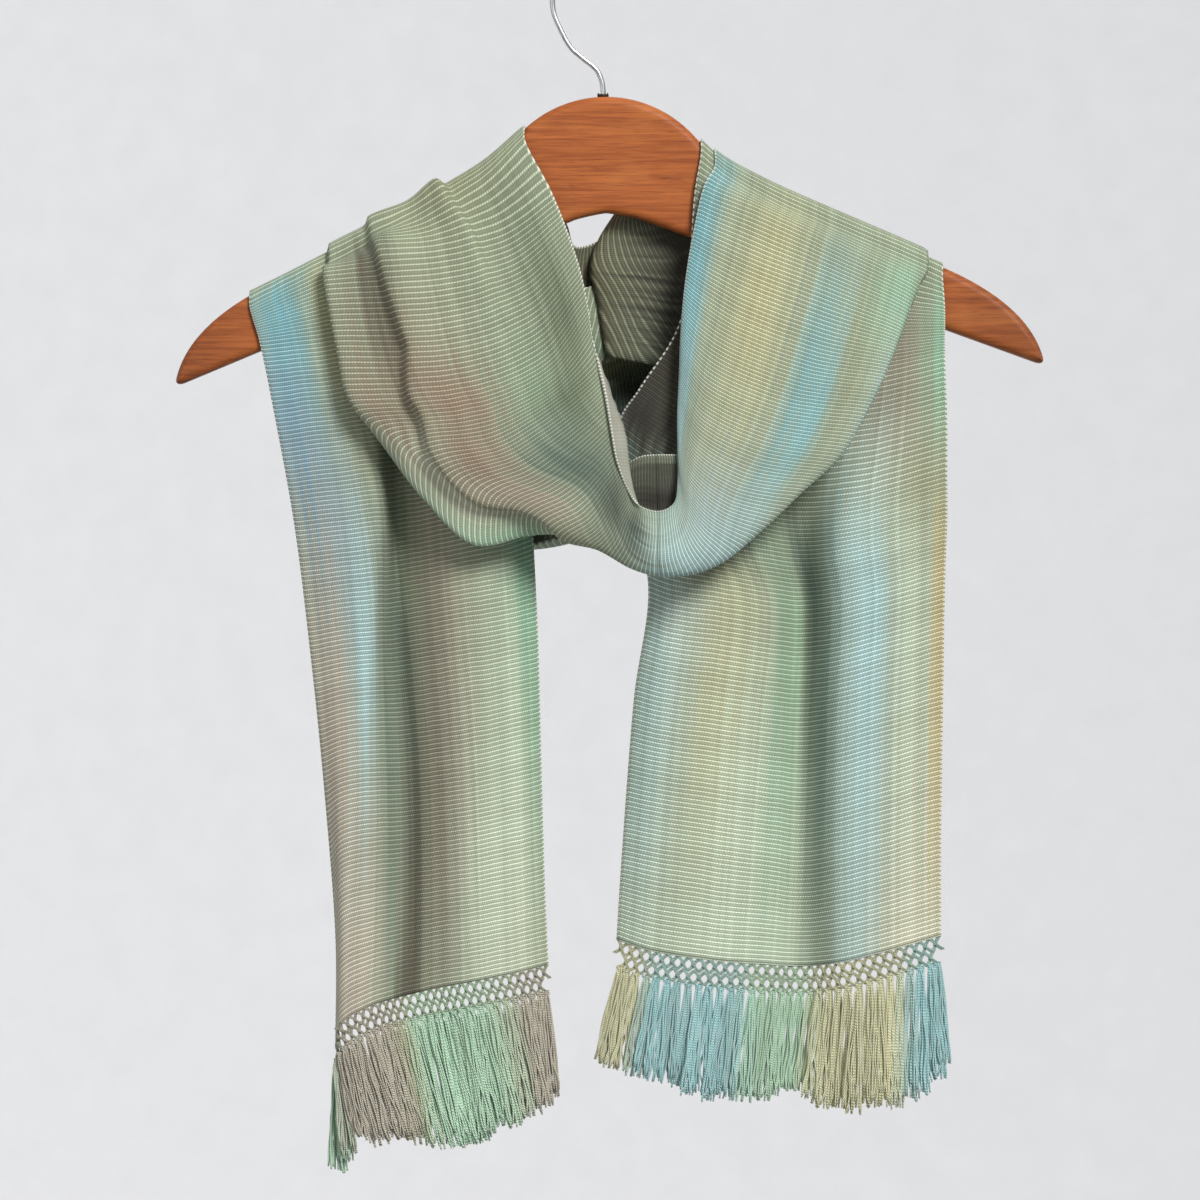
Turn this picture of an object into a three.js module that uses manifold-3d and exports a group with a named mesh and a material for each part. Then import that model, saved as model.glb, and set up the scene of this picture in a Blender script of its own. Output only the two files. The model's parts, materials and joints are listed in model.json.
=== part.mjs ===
// A woven scarf with knotted, fringed ends, wound once round a wooden coat hanger with a wire hook.
// Millimetres, +Z up, the front faces -Y. The origin is the inner top of the hook, where it hangs.
import * as THREE from "three";
import { mergeVertices } from "three/addons/utils/BufferGeometryUtils.js";
import Module from "manifold-3d";

const wasm = await Module();
wasm.setup();

// ---------------------------------------------------------------- driving dimensions

const HOOK = {
  wireRadius: 1.4,
  bendRadius: 26,
  openAngle: 5,
  joinAngle: 207,
  seatDepth: 12,
  clearance: 0.3,
  sides: 8,
  steps: 64,
};
const FERRULE = { radius: 3, height: 1.3, fillet: 0.4 };
const BOARD = {
  topDrop: 74,
  roll: THREE.MathUtils.degToRad(1.4),
  thickness: 14,
  edgeRound: 3,
  domeRadius: 61,
  domeHalfWidth: 46,
  flankEndX: 84,
  flankEndDrop: 50,
  shoulderSlope: 0.4725,
  shoulderEndX: 175,
  elbowX: 215.3,
  elbowDrop: 112.4,
  tipX: 221.5,
  tipDrop: 134,
  tipBulge: 0.5,
  tipCornerDrop: 144,
  tipFootX: 211,
  footDrop: 138.9,
  apexDrop: 56.4,
  apexHalfWidth: 16,
  undersideSlope: 0.391,
};
const FOLD = { fadePower: 0.7, dropShare: 0.12 };
const CLOTH = { wall: 1.1, across: 14, seam: 0.36, finenessAcross: 84, bendShare: 9 };
const KNOTS = { height: 12.5, wall: 2.6, steps: 1 };
const FRINGE = { wall: 6, steps: 3, taper: 0.45, taperPower: 3 };
const LAYER = { inner: 1.5, flap: 3.3, outer: 5 };

const COLOUR = {
  wood: 0xa5532b,
  steel: 0xb9bcbc,
  bronze: 0x2c211a,
  sage: 0xa7b59a,
  aqua: 0x9fbfc0,
  olive: 0x8f8f72,
  mint: 0xb5d3b4,
  straw: 0xc9c592,
};

// ---------------------------------------------------------------- hanger board

// How far the level board's top edge lies below its crown, at a distance x from the middle.
function crownDrop(x) {
  const reach = Math.abs(x);
  const { domeRadius, domeHalfWidth, flankEndX, flankEndDrop, shoulderSlope } = BOARD;
  if (reach <= domeHalfWidth) {
    return domeRadius - Math.sqrt(domeRadius ** 2 - reach ** 2);
  }
  if (reach >= flankEndX) {
    return flankEndDrop + shoulderSlope * (reach - flankEndX);
  }
  const domeEndDrop = crownDrop(domeHalfWidth);
  const domeEndSlope = domeHalfWidth / Math.sqrt(domeRadius ** 2 - domeHalfWidth ** 2);
  const span = flankEndX - domeHalfWidth;
  const t = (reach - domeHalfWidth) / span;
  return (
    domeEndDrop * (2 * t ** 3 - 3 * t ** 2 + 1) +
    domeEndSlope * span * (t ** 3 - 2 * t ** 2 + t) +
    flankEndDrop * (3 * t ** 2 - 2 * t ** 3) +
    shoulderSlope * span * (t ** 3 - t ** 2)
  );
}

// The height of the hung, slightly rolled board's top edge at x.
function boardTop(x) {
  const levelX = x - Math.sin(BOARD.roll) * crownDrop(x);
  return -BOARD.topDrop - crownDrop(levelX) + Math.sin(BOARD.roll) * levelX;
}

// The level board seen from the front, its crown at the origin.
function boardOutline() {
  const shape = new THREE.Shape();
  const stepX = 7;
  const steps = Math.round((2 * BOARD.shoulderEndX) / stepX);
  const undersideDrop = (x) => BOARD.apexDrop + BOARD.undersideSlope * x;
  shape.moveTo(-BOARD.shoulderEndX, -crownDrop(BOARD.shoulderEndX));
  for (let i = 1; i <= steps; i += 1) {
    const x = -BOARD.shoulderEndX + (2 * BOARD.shoulderEndX * i) / steps;
    shape.lineTo(x, -crownDrop(x));
  }
  shape.quadraticCurveTo(BOARD.elbowX, -BOARD.elbowDrop, BOARD.tipX, -BOARD.tipDrop);
  const bulgeX = BOARD.tipX + BOARD.tipBulge;
  shape.quadraticCurveTo(bulgeX, -BOARD.tipCornerDrop, BOARD.tipFootX, -BOARD.footDrop);
  shape.lineTo(BOARD.apexHalfWidth, -undersideDrop(BOARD.apexHalfWidth));
  shape.quadraticCurveTo(0, -BOARD.apexDrop, -BOARD.apexHalfWidth, -undersideDrop(BOARD.apexHalfWidth));
  shape.lineTo(-BOARD.tipFootX, -BOARD.footDrop);
  shape.quadraticCurveTo(-bulgeX, -BOARD.tipCornerDrop, -BOARD.tipX, -BOARD.tipDrop);
  shape.quadraticCurveTo(
    -BOARD.elbowX,
    -BOARD.elbowDrop,
    -BOARD.shoulderEndX,
    -crownDrop(BOARD.shoulderEndX),
  );
  return shape;
}

// ---------------------------------------------------------------- solids

// A three.js geometry as a solid for cutting, and back again.
function toManifold(geometry) {
  const bare = geometry.clone();
  bare.deleteAttribute("normal");
  bare.deleteAttribute("uv");
  const merged = mergeVertices(bare, 1e-4);
  const triVerts = new Uint32Array(merged.index.array);
  const vertProperties = new Float32Array(merged.attributes.position.array);
  return new wasm.Manifold(new wasm.Mesh({ numProp: 3, vertProperties, triVerts }));
}

function fromManifold(solid) {
  const mesh = solid.getMesh();
  const geometry = new THREE.BufferGeometry();
  geometry.setAttribute("position", new THREE.BufferAttribute(mesh.vertProperties, 3));
  geometry.setIndex(new THREE.BufferAttribute(mesh.triVerts, 1));
  geometry.computeVertexNormals();
  return geometry;
}

function piece(name, geometry, colour, roughness, metalness = 0) {
  const material = new THREE.MeshStandardMaterial({ color: colour, roughness, metalness });
  const mesh = new THREE.Mesh(geometry, material);
  mesh.name = name;
  return mesh;
}

function boardPiece() {
  const body = new THREE.ExtrudeGeometry(boardOutline(), {
    depth: BOARD.thickness - 2 * BOARD.edgeRound,
    bevelThickness: BOARD.edgeRound,
    bevelSize: BOARD.edgeRound,
    bevelOffset: -BOARD.edgeRound,
    bevelSegments: 4,
    curveSegments: 10,
  });
  body.translate(0, 0, BOARD.edgeRound - BOARD.thickness / 2);
  body.rotateX(Math.PI / 2);
  const holeRadius = HOOK.wireRadius + HOOK.clearance;
  const hole = new THREE.CylinderGeometry(holeRadius, holeRadius, 2 * HOOK.seatDepth, 16);
  hole.rotateX(Math.PI / 2);
  const drilled = toManifold(body).subtract(toManifold(hole));
  const board = piece("hanger_board", fromManifold(drilled), COLOUR.wood, 0.45);
  board.position.z = -BOARD.topDrop;
  board.rotation.y = -BOARD.roll;
  return board;
}

// The wire's middle line: up out of the board, bent aside, then round the hook to its free end.
function hookRoute() {
  const centreZ = HOOK.wireRadius - HOOK.bendRadius;
  const foot = -BOARD.topDrop;
  const stem = [
    [0, foot - HOOK.seatDepth + HOOK.clearance],
    [0, foot - 4],
    [0, foot + 3],
    [-0.8, foot + 8.5],
    [-3.4, foot + 14],
    [-10.5, foot + 20],
    [-16.6, foot + 25.5],
  ];
  const places = stem.map(([x, z]) => new THREE.Vector3(x, 0, z));
  const turns = 16;
  for (let i = 0; i <= turns; i += 1) {
    const degrees = HOOK.joinAngle + ((HOOK.openAngle - HOOK.joinAngle) * i) / turns;
    const angle = THREE.MathUtils.degToRad(degrees);
    const x = HOOK.bendRadius * Math.cos(angle);
    places.push(new THREE.Vector3(x, 0, centreZ + HOOK.bendRadius * Math.sin(angle)));
  }
  return new THREE.CatmullRomCurve3(places, false, "centripetal");
}

function hookPiece() {
  const wire = new THREE.Shape();
  wire.absarc(0, 0, HOOK.wireRadius, 0, 2 * Math.PI);
  const body = new THREE.ExtrudeGeometry(wire, {
    extrudePath: hookRoute(),
    steps: HOOK.steps,
    curveSegments: HOOK.sides,
  });
  return piece("hanger_hook", body, COLOUR.steel, 0.3, 1);
}

function ferrulePiece() {
  const inner = HOOK.wireRadius + HOOK.clearance;
  const { radius, height, fillet } = FERRULE;
  const profile = [
    [inner, 0],
    [radius, 0],
    [radius, height - fillet],
    [radius - fillet, height],
    [inner, height],
    [inner, 0],
  ];
  const body = new THREE.LatheGeometry(
    profile.map(([x, y]) => new THREE.Vector2(x, y)),
    24,
  );
  body.rotateX(Math.PI / 2);
  body.translate(0, 0, HOOK.clearance - BOARD.topDrop);
  return piece("hanger_ferrule", body, COLOUR.bronze, 0.5, 0.6);
}

// ---------------------------------------------------------------- the scarf's sections

// Each row is one section across the cloth, a line of weft. Its columns are the places [x, y, z]
// that it passes through, from the selvage nearest the neck to the outer selvage.
const COLUMNS = ["neck", "roll", "chest", "flank", "rim", "tuck", "outer"];

const LEFT_TAIL = [
  {
    neck: [-28, -6, -519], roll: [-45, -10, -523], chest: [-70, -9, -528], flank: [-97, 2, -534],
    rim: [-119, -9, -540], tuck: [-134, -7, -549], outer: [-137, 4, -560],
  },
  {
    neck: [-30, -6, -473], roll: [-45, -11, -477], chest: [-72, -11, -482], flank: [-99, 4, -487],
    rim: [-121, -9, -491], tuck: [-133, -11, -495], outer: [-137, 1, -505],
  },
  {
    neck: [-32, -6, -406], roll: [-48, -12, -410], chest: [-74, -12, -416], flank: [-101, 6, -420],
    rim: [-124, -14, -421], tuck: [-133, -13, -423], outer: [-142.6, -3, -428],
  },
  {
    neck: [-34, -7, -337], roll: [-50, -13, -341], chest: [-78, -13, -346], flank: [-106, 7, -351],
    rim: [-119, -15, -352], tuck: [-134, -14, -354], outer: [-150, -7, -357],
  },
  {
    neck: [-38, -8, -270], roll: [-53, -13, -276], chest: [-79, -13, -282], flank: [-106, 5, -287],
    rim: [-115, -15, -288], tuck: [-137, -14, -291], outer: [-158, -8, -293],
  },
  {
    neck: [-45, -9.5, -209], roll: [-60, -12, -215], chest: [-84, -12, -223], flank: [-105, -4, -229],
    rim: [-117, -13, -231], tuck: [-144, -12, -235], outer: [-168, -9, -238],
  },
  {
    neck: [-55, -9.5, -163], roll: [-67, -10, -169], chest: [-87, -10.5, -179], flank: [-106, -9.5, -186],
    rim: [-124, -10, -191], tuck: [-152, -10, -196], outer: [-176, -9, -199],
  },
];

const LOWER_BACK = [
  {
    neck: [-60, 9, -136], roll: [-70, 9.5, -144], chest: [-88, 9.5, -156], flank: [-107, 9.5, -168],
    rim: [-126, 9.5, -180], tuck: [-148, 9.5, -192], outer: [-170, 9, -202],
  },
  {
    neck: [-47, 9, -172], roll: [-55, 9, -182], chest: [-70, 9.5, -202], flank: [-87, 10, -221],
    rim: [-104, 10, -238], tuck: [-125, 9.5, -256], outer: [-143, 9, -270],
  },
  {
    neck: [-32, 12, -228], roll: [-36, 15, -235], chest: [-45, 18, -250], flank: [-55, 19, -267],
    rim: [-66, 16, -284], tuck: [-78, 12, -299], outer: [-90, 8, -310],
  },
  {
    neck: [-12, 23, -226], roll: [-13, 27, -233], chest: [-17, 30, -250], flank: [-22, 31, -271],
    rim: [-28, 26, -292], tuck: [-33, 15, -305], outer: [-38, 5, -304],
  },
  {
    neck: [4, 24.5, -204], roll: [5, 28, -211], chest: [8, 32, -236], flank: [8, 33, -262],
    rim: [8, 27, -285], tuck: [8, 16, -295], outer: [8, 5, -288],
  },
  {
    neck: [37, 25, -196], roll: [43, 28, -206], chest: [54, 32, -227], flank: [66, 33, -250],
    rim: [80, 28, -268], tuck: [82, 20, -274], outer: [68, 15, -254],
  },
  {
    neck: [49, 21, -164], roll: [57, 23, -173], chest: [76, 27, -193], flank: [100, 28, -213],
    rim: [127, 24, -231], tuck: [126, 18, -232], outer: [97, 16.5, -212],
  },
  {
    neck: [55, 14, -132], roll: [63, 15, -137], chest: [87, 18, -152], flank: [122, 18, -170],
    rim: [158, 16, -188], tuck: [152, 13.5, -186], outer: [114, 13, -166],
  },
];

const RIGHT_COWL = [
  {
    neck: [52, -13, -119], roll: [58, -14, -122], chest: [81, -16, -132], flank: [122, -17, -151],
    rim: [162, -16, -171], tuck: [156, -13.5, -170], outer: [112, -13, -152],
  },
  {
    neck: [46, -16, -145], roll: [52, -18, -148], chest: [75, -22, -159], flank: [119, -24, -176],
    rim: [154, -21, -191], tuck: [147, -17, -190], outer: [101, -15.5, -174],
  },
  {
    neck: [42, -19, -170], roll: [48, -22, -175], chest: [68, -28, -188], flank: [111, -31, -204],
    rim: [146, -27, -211], tuck: [139, -21, -211], outer: [93, -19, -198],
  },
  {
    neck: [40, -23, -193], roll: [44, -27, -199], chest: [58, -34, -211], flank: [97, -38, -227],
    rim: [136, -33, -232], tuck: [128, -26, -232], outer: [83, -23, -220],
  },
  {
    neck: [39, -27, -217], roll: [42, -32, -224], chest: [51, -40, -237], flank: [82, -44, -252],
    rim: [121, -38, -258], tuck: [112, -30, -258], outer: [72, -26, -241],
  },
  {
    neck: [38, -32, -237], roll: [40, -37, -245], chest: [47, -45, -258], flank: [69, -49, -272],
    rim: [101, -43, -277], tuck: [92, -34, -277], outer: [60, -29, -252],
  },
  {
    neck: [38, -38, -255], roll: [39, -43, -262], chest: [44, -50, -275], flank: [58, -54, -289],
    rim: [80, -48, -297], tuck: [72, -38, -296], outer: [50, -32, -257],
  },
  {
    neck: [38, -44, -271], roll: [39, -48, -277], chest: [42, -54, -288], flank: [50, -58, -301],
    rim: [61, -52, -312], tuck: [56, -42, -311], outer: [43, -34, -258],
  },
  {
    neck: [36, -50, -283], roll: [36, -53, -287], chest: [37, -57, -296], flank: [40, -61, -308],
    rim: [45, -56, -318], tuck: [43, -45, -316], outer: [36, -35, -258],
  },
];

const COWL_FOOT = [
  {
    neck: [29, -52, -287], roll: [29, -55, -291], chest: [29, -58, -299], flank: [29, -62, -311],
    rim: [30, -57, -319.5], tuck: [30, -46, -317], outer: [28, -36, -258],
  },
];

const LEFT_COWL = [
  {
    neck: [20, -51, -285], roll: [21, -53, -289], chest: [20, -56, -298], flank: [18, -55, -309],
    rim: [15, -50, -316], tuck: [17, -43, -313], outer: [19, -36, -259],
  },
  {
    neck: [13, -46, -277], roll: [16, -45, -279], chest: [10, -49, -293], flank: [6, -53, -302],
    rim: [1, -49, -308], tuck: [3, -42, -305], outer: [9, -35, -265],
  },
  {
    neck: [7, -44, -262], roll: [13, -41, -263], chest: [3, -48, -281], flank: [-6, -53, -293],
    rim: [-17, -47, -299], tuck: [-14, -38, -299], outer: [-4, -33, -272],
  },
  {
    neck: [4, -40, -246], roll: [11, -36, -246], chest: [-4, -44, -266], flank: [-20, -50, -280],
    rim: [-37, -44, -288], tuck: [-37, -36, -299], outer: [-19, -31, -277],
  },
  {
    neck: [1, -34, -228], roll: [5, -31, -229], chest: [-14, -40, -248], flank: [-39, -46, -266],
    rim: [-62, -41, -276], tuck: [-65, -35, -304], outer: [-43, -28, -277],
  },
  {
    neck: [-3, -28, -210], roll: [-1, -27, -212], chest: [-22, -35, -232], flank: [-57, -42, -253],
    rim: [-93, -37, -261], tuck: [-90, -31, -281], outer: [-62, -26, -262],
  },
  {
    neck: [-6, -24, -195], roll: [-7, -25, -198], chest: [-26, -31, -222], flank: [-68, -38, -242],
    rim: [-110, -33, -248], tuck: [-105, -27, -261], outer: [-79, -23, -250],
  },
  {
    neck: [-8, -21, -181], roll: [-11, -23, -185], chest: [-31, -28, -210], flank: [-78, -34, -228],
    rim: [-128, -29, -232], tuck: [-122, -23, -233], outer: [-91, -20.5, -234],
  },
  {
    neck: [-13, -17, -159], roll: [-17, -19, -164], chest: [-38, -24, -186], flank: [-84, -28, -202],
    rim: [-136, -24, -204], tuck: [-129, -18.5, -205], outer: [-96, -17, -207],
  },
  {
    neck: [-26, -13, -124], roll: [-31, -14, -128], chest: [-53, -17, -143], flank: [-94, -20, -153],
    rim: [-143, -18, -162], tuck: [-137, -14.5, -162], outer: [-107, -13.5, -158],
  },
];

const UPPER_BACK = [
  {
    neck: [-31, 12, -122], roll: [-37, 13, -128], chest: [-57, 15, -144], flank: [-92, 17, -166],
    rim: [-130, 16, -186], tuck: [-124, 13.5, -186], outer: [-94, 13, -174],
  },
  {
    neck: [-19, 13, -138], roll: [-23, 15, -144], chest: [-36, 18, -166], flank: [-60, 20, -196],
    rim: [-88, 19, -222], tuck: [-80, 14.5, -219], outer: [-54, 13.5, -188],
  },
  {
    neck: [-14, 14.5, -150], roll: [-16, 16.5, -157], chest: [-21, 18, -176], flank: [-27, 18, -196],
    rim: [-36, 16.5, -217], tuck: [-30, 12.5, -211], outer: [-18, 12.5, -174],
  },
  {
    neck: [5, 15.5, -142], roll: [5, 17.5, -150], chest: [5, 19.5, -170], flank: [6, 20, -190],
    rim: [7, 18.5, -208], tuck: [8, 15.5, -204], outer: [8, 15.8, -166],
  },
  {
    neck: [6, 11.5, -134], roll: [-2, 12, -147], chest: [-6.5, 12, -161], flank: [-3, 12, -177],
    rim: [3, 12.5, -207], tuck: [5, 14.2, -204], outer: [2, 14.2, -166],
  },
  {
    neck: [16, 8.8, -131], roll: [14, 8.8, -142], chest: [14, 8.6, -160], flank: [18, 8.6, -180],
    rim: [20, 9, -210], tuck: [21, 12.6, -207], outer: [18, 12.4, -166],
  },
  {
    neck: [32, 9.2, -127], roll: [35, 9, -137], chest: [41, 8.6, -160], flank: [50, 8.6, -186],
    rim: [62, 9.4, -215], tuck: [66, 13, -210], outer: [52, 12.6, -164],
  },
  {
    neck: [45, 9, -124], roll: [52, 9, -131], chest: [72, 9, -147], flank: [96, 9.5, -164],
    rim: [122, 9.5, -180], tuck: [143, 9.5, -192], outer: [160, 9, -200],
  },
];

const RIGHT_TAIL = [
  {
    neck: [47, -10, -122], roll: [56, -10.5, -127], chest: [76, -10.5, -139], flank: [101, -10.5, -153],
    rim: [128, -10.5, -168], tuck: [152, -10.5, -178], outer: [175, -9.5, -182],
  },
  {
    neck: [39, -12, -190], roll: [49, -12, -196], chest: [68, -12, -206], flank: [91, -12, -215],
    rim: [118, -11, -217], tuck: [147, -12, -213], outer: [175, -10, -207],
  },
  {
    neck: [19, -15, -223], roll: [31, -16, -231], chest: [54, -18, -242], flank: [82, -16, -251],
    rim: [108, -11, -252], tuck: [139, -15, -248], outer: [176, -11, -239],
  },
  {
    neck: [8, -17, -241], roll: [22, -19, -251], chest: [48, -22, -265], flank: [80, -19, -278],
    rim: [101, -7, -281], tuck: [128, -18, -279], outer: [176, -12, -266],
  },
  {
    neck: [8, -17, -281], roll: [22, -20, -289], chest: [50, -23, -299], flank: [84, -17, -306],
    rim: [101, -3, -308], tuck: [122, -20, -306], outer: [176, -12, -292],
  },
  {
    neck: [23, -13, -321], roll: [33, -19, -325], chest: [56, -22, -329], flank: [86, -14, -334],
    rim: [101, 0, -336], tuck: [122, -20, -333], outer: [175, -12, -318],
  },
  {
    neck: [16, -10, -383], roll: [28, -17, -386], chest: [55, -20, -390], flank: [87, -10, -395],
    rim: [101, 2, -397], tuck: [122, -18, -393], outer: [174, -11, -378],
  },
  {
    neck: [10, -8, -460], roll: [24, -14, -463], chest: [55, -17, -468], flank: [87, -8, -473],
    rim: [101, 1, -475], tuck: [122, -15, -471], outer: [173, -9, -457],
  },
  {
    neck: [7, -7, -506], roll: [22, -11, -511], chest: [53, -14, -516], flank: [86, -7, -519],
    rim: [101, 0, -520], tuck: [124, -12, -517], outer: [173, -8, -504],
  },
];

// Where each layer lies along the shoulders, and how far its middle stands off the board.
const OVER_SHOULDER = {
  leftInner: { x: [-64, -73, -91, -110, -129, -155, -181], lift: new Array(7).fill(LAYER.inner) },
  leftOuter: { x: [-40, -44, -62, -99, -141, -135, -107], lift: [1.6, 2.4, 5.2, 5.6, 5.1, 3.4, LAYER.flap] },
  rightInner: { x: [50, 57, 77, 102, 128, 152, 174], lift: new Array(7).fill(LAYER.inner) },
  rightOuter: { x: [57, 63, 87, 127, 166, 160, 118], lift: [3.3, 3.7, 5, 5, 5, 3.4, LAYER.flap] },
};

// The arch from the board's front face over its top edge to its back face, front first.
const ARCH = [
  { name: "front", reach: -1, y: 7, drop: 6, riseShare: 0, reachShare: 1 },
  { name: "front edge", reach: -1, y: 6, drop: 0.9, riseShare: 0.75, reachShare: 0.75 },
  { name: "top", reach: 0, y: 0, drop: 0, riseShare: 1, reachShare: 0 },
  { name: "back edge", reach: 1, y: 6, drop: 0.9, riseShare: 0.75, reachShare: 0.75 },
  { name: "back", reach: 1, y: 7, drop: 6, riseShare: 0, reachShare: 1 },
];

// The rows that carry one layer over a shoulder of the board, from the front or from the back.
function shoulderRows({ x, lift }, frontFirst) {
  const rows = ARCH.map(({ reach, y, drop, riseShare, reachShare }) => {
    const row = {};
    COLUMNS.forEach((column, i) => {
      const rise = lift[i] * riseShare - drop;
      row[column] = [x[i], reach * (y + lift[i] * reachShare), boardTop(x[i]) + rise];
    });
    return row;
  });
  return frontFirst ? rows : rows.reverse();
}

// The whole cloth in one run, from the left end's header to the right end's.
const runs = [
  { name: "left tail", rows: LEFT_TAIL },
  { name: "left shoulder, inner", rows: shoulderRows(OVER_SHOULDER.leftInner, true) },
  { name: "lower back", rows: LOWER_BACK },
  { name: "right shoulder, outer", rows: shoulderRows(OVER_SHOULDER.rightOuter, false) },
  { name: "right cowl", rows: RIGHT_COWL },
  { name: "cowl foot", rows: COWL_FOOT },
  { name: "left cowl", rows: LEFT_COWL },
  { name: "left shoulder, outer", rows: shoulderRows(OVER_SHOULDER.leftOuter, true) },
  { name: "upper back", rows: UPPER_BACK },
  { name: "right shoulder, inner", rows: shoulderRows(OVER_SHOULDER.rightInner, false) },
  { name: "right tail", rows: RIGHT_TAIL },
];
const firstRow = {};
const sections = [];
for (const { name, rows } of runs) {
  firstRow[name] = sections.length;
  sections.push(...rows);
}
const ARCH_TOP = 2;

// The largest folds, each along a path of places [row, across]. Rows count from the named run's
// first row, and across goes from 0, the neck selvage, to 1, the outer one. A ridge is even, and a
// lap drops at once on the side it is given: 1 towards the outer selvage, -1 towards the neck.
const FOLDS = [
  {
    kind: "lap", run: "left cowl", height: 9.5, wide: 0.13, side: 1,
    path: [[1.2, 0.63], [3, 0.62], [7, 0.6], [8, 0.555], [9, 0.585], [12.5, 0.6]],
  },
  { kind: "lap", run: "left cowl", path: [[8, 0.27], [13, 0.38]], height: 6, wide: 0.08, side: -1 },
  { kind: "ridge", run: "left cowl", path: [[4, 0.5], [8, 0.47]], height: 2.5, wide: 0.04 },
  { kind: "ridge", run: "right cowl", path: [[2, 0.3], [8, 0.36]], height: 1.6, wide: 0.07 },
  { kind: "ridge", run: "lower back", path: [[2.2, 0.22], [7, 0.24]], height: 6, wide: 0.05 },
  { kind: "ridge", run: "lower back", path: [[2, 0.46], [7, 0.48]], height: 7, wide: 0.055 },
  { kind: "ridge", run: "lower back", path: [[1.8, 0.7], [7, 0.68]], height: 6, wide: 0.05 },
];

// ---------------------------------------------------------------- the scarf's surface

const lengthwise = COLUMNS.map(
  (column) =>
    new THREE.CatmullRomCurve3(
      sections.map((row) => new THREE.Vector3(...row[column])),
      false,
      "centripetal",
    ),
);

// One section at a place along the run, counted in rows, as evenly spaced points.
function sectionAt(station, count) {
  const t = station / (sections.length - 1);
  const places = lengthwise.map((curve) => curve.getPoint(t));
  return new THREE.CatmullRomCurve3(places, false, "centripetal").getSpacedPoints(count);
}

// Outward normals of a grid of points, by the differences of its neighbours.
function normalsOf(grid) {
  const lastRow = grid.length - 1;
  const lastColumn = grid[0].length - 1;
  return grid.map((row, i) =>
    row.map((_, j) => {
      const along = grid[Math.min(i + 1, lastRow)][j].clone().sub(grid[Math.max(i - 1, 0)][j]);
      const over = row[Math.min(j + 1, lastColumn)].clone().sub(row[Math.max(j - 1, 0)]);
      return along.cross(over).normalize();
    }),
  );
}

// Where a fold's path lies across the cloth at a row, by its places [row, across].
function placeOnPath(path, row) {
  const next = Math.max(path.findIndex(([at]) => at >= row), 1);
  const [fromRow, from] = path[next - 1];
  const [toRow, to] = path[next];
  return from + ((to - from) * (row - fromRow)) / (toRow - fromRow);
}

// How far the folds lift the cloth at a place: each rises from nothing at its path's ends.
function foldHeight(station, across) {
  let height = 0;
  for (const fold of FOLDS) {
    const row = station - firstRow[fold.run];
    const start = fold.path[0][0];
    const end = fold.path[fold.path.length - 1][0];
    if (row <= start || row >= end) {
      continue;
    }
    const fade = Math.sin((Math.PI * (row - start)) / (end - start)) ** FOLD.fadePower;
    const offset = across - placeOnPath(fold.path, row);
    const dropSide = fold.kind === "lap" && offset * fold.side > 0;
    const wide = dropSide ? fold.wide * FOLD.dropShare : fold.wide;
    height += fold.height * fade * Math.exp(-((offset / wide) ** 2));
  }
  return height;
}

// Points picked from a line, closer together where it bends.
function spacedByBend(line, count) {
  const reach = [0];
  for (let j = 1; j < line.length; j += 1) {
    const step = line[j].clone().sub(line[j - 1]);
    const before = line[Math.max(j - 1, 1)].clone().sub(line[Math.max(j - 2, 0)]);
    reach.push(reach[j - 1] + step.length() + CLOTH.bendShare * step.angleTo(before));
  }
  const picked = [];
  for (let k = 0; k <= count; k += 1) {
    const wanted = (reach[line.length - 1] * k) / count;
    const next = Math.max(1, reach.findIndex((value) => value >= wanted - 1e-9));
    const share = (wanted - reach[next - 1]) / (reach[next] - reach[next - 1]);
    picked.push(line[next - 1].clone().lerp(line[next], share));
  }
  return picked;
}

// The grid of the cloth's middle surface at the given stations.
function clothGrid(stations) {
  const fine = stations.map((station) => sectionAt(station, CLOTH.finenessAcross));
  const normals = normalsOf(fine);
  return fine.map((row, i) => {
    const folded = row.map((place, j) => {
      const height = foldHeight(stations[i], j / CLOTH.finenessAcross);
      return place.clone().addScaledVector(normals[i][j], height);
    });
    return spacedByBend(folded, CLOTH.across);
  });
}

// A closed wall round a grid of middle points, of a thickness that may differ from row to row.
function wallAround(grid, thicknessAt) {
  const rows = grid.length;
  const columns = grid[0].length;
  const normals = normalsOf(grid);
  const positions = [];
  for (const side of [1, -1]) {
    for (let i = 0; i < rows; i += 1) {
      for (let j = 0; j < columns; j += 1) {
        const offset = (side * thicknessAt(i / (rows - 1))) / 2;
        positions.push(...grid[i][j].clone().addScaledVector(normals[i][j], offset).toArray());
      }
    }
  }
  const back = rows * columns;
  const at = (i, j) => i * columns + j;
  const index = [];
  const quad = (a, b, c, d) => index.push(a, c, b, a, d, c);
  for (let i = 0; i < rows - 1; i += 1) {
    for (let j = 0; j < columns - 1; j += 1) {
      quad(at(i, j), at(i, j + 1), at(i + 1, j + 1), at(i + 1, j));
      quad(back + at(i, j), back + at(i + 1, j), back + at(i + 1, j + 1), back + at(i, j + 1));
    }
    quad(at(i, 0), at(i + 1, 0), back + at(i + 1, 0), back + at(i, 0));
    const j = columns - 1;
    quad(at(i, j), back + at(i, j), back + at(i + 1, j), at(i + 1, j));
  }
  for (let j = 0; j < columns - 1; j += 1) {
    quad(at(0, j), back + at(0, j), back + at(0, j + 1), at(0, j + 1));
    const i = rows - 1;
    quad(at(i, j), at(i, j + 1), back + at(i, j + 1), back + at(i, j));
  }
  const geometry = new THREE.BufferGeometry();
  geometry.setAttribute("position", new THREE.Float32BufferAttribute(positions, 3));
  geometry.setIndex(index);
  geometry.computeVertexNormals();
  return geometry;
}

// ---------------------------------------------------------------- the stretches of cloth

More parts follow.
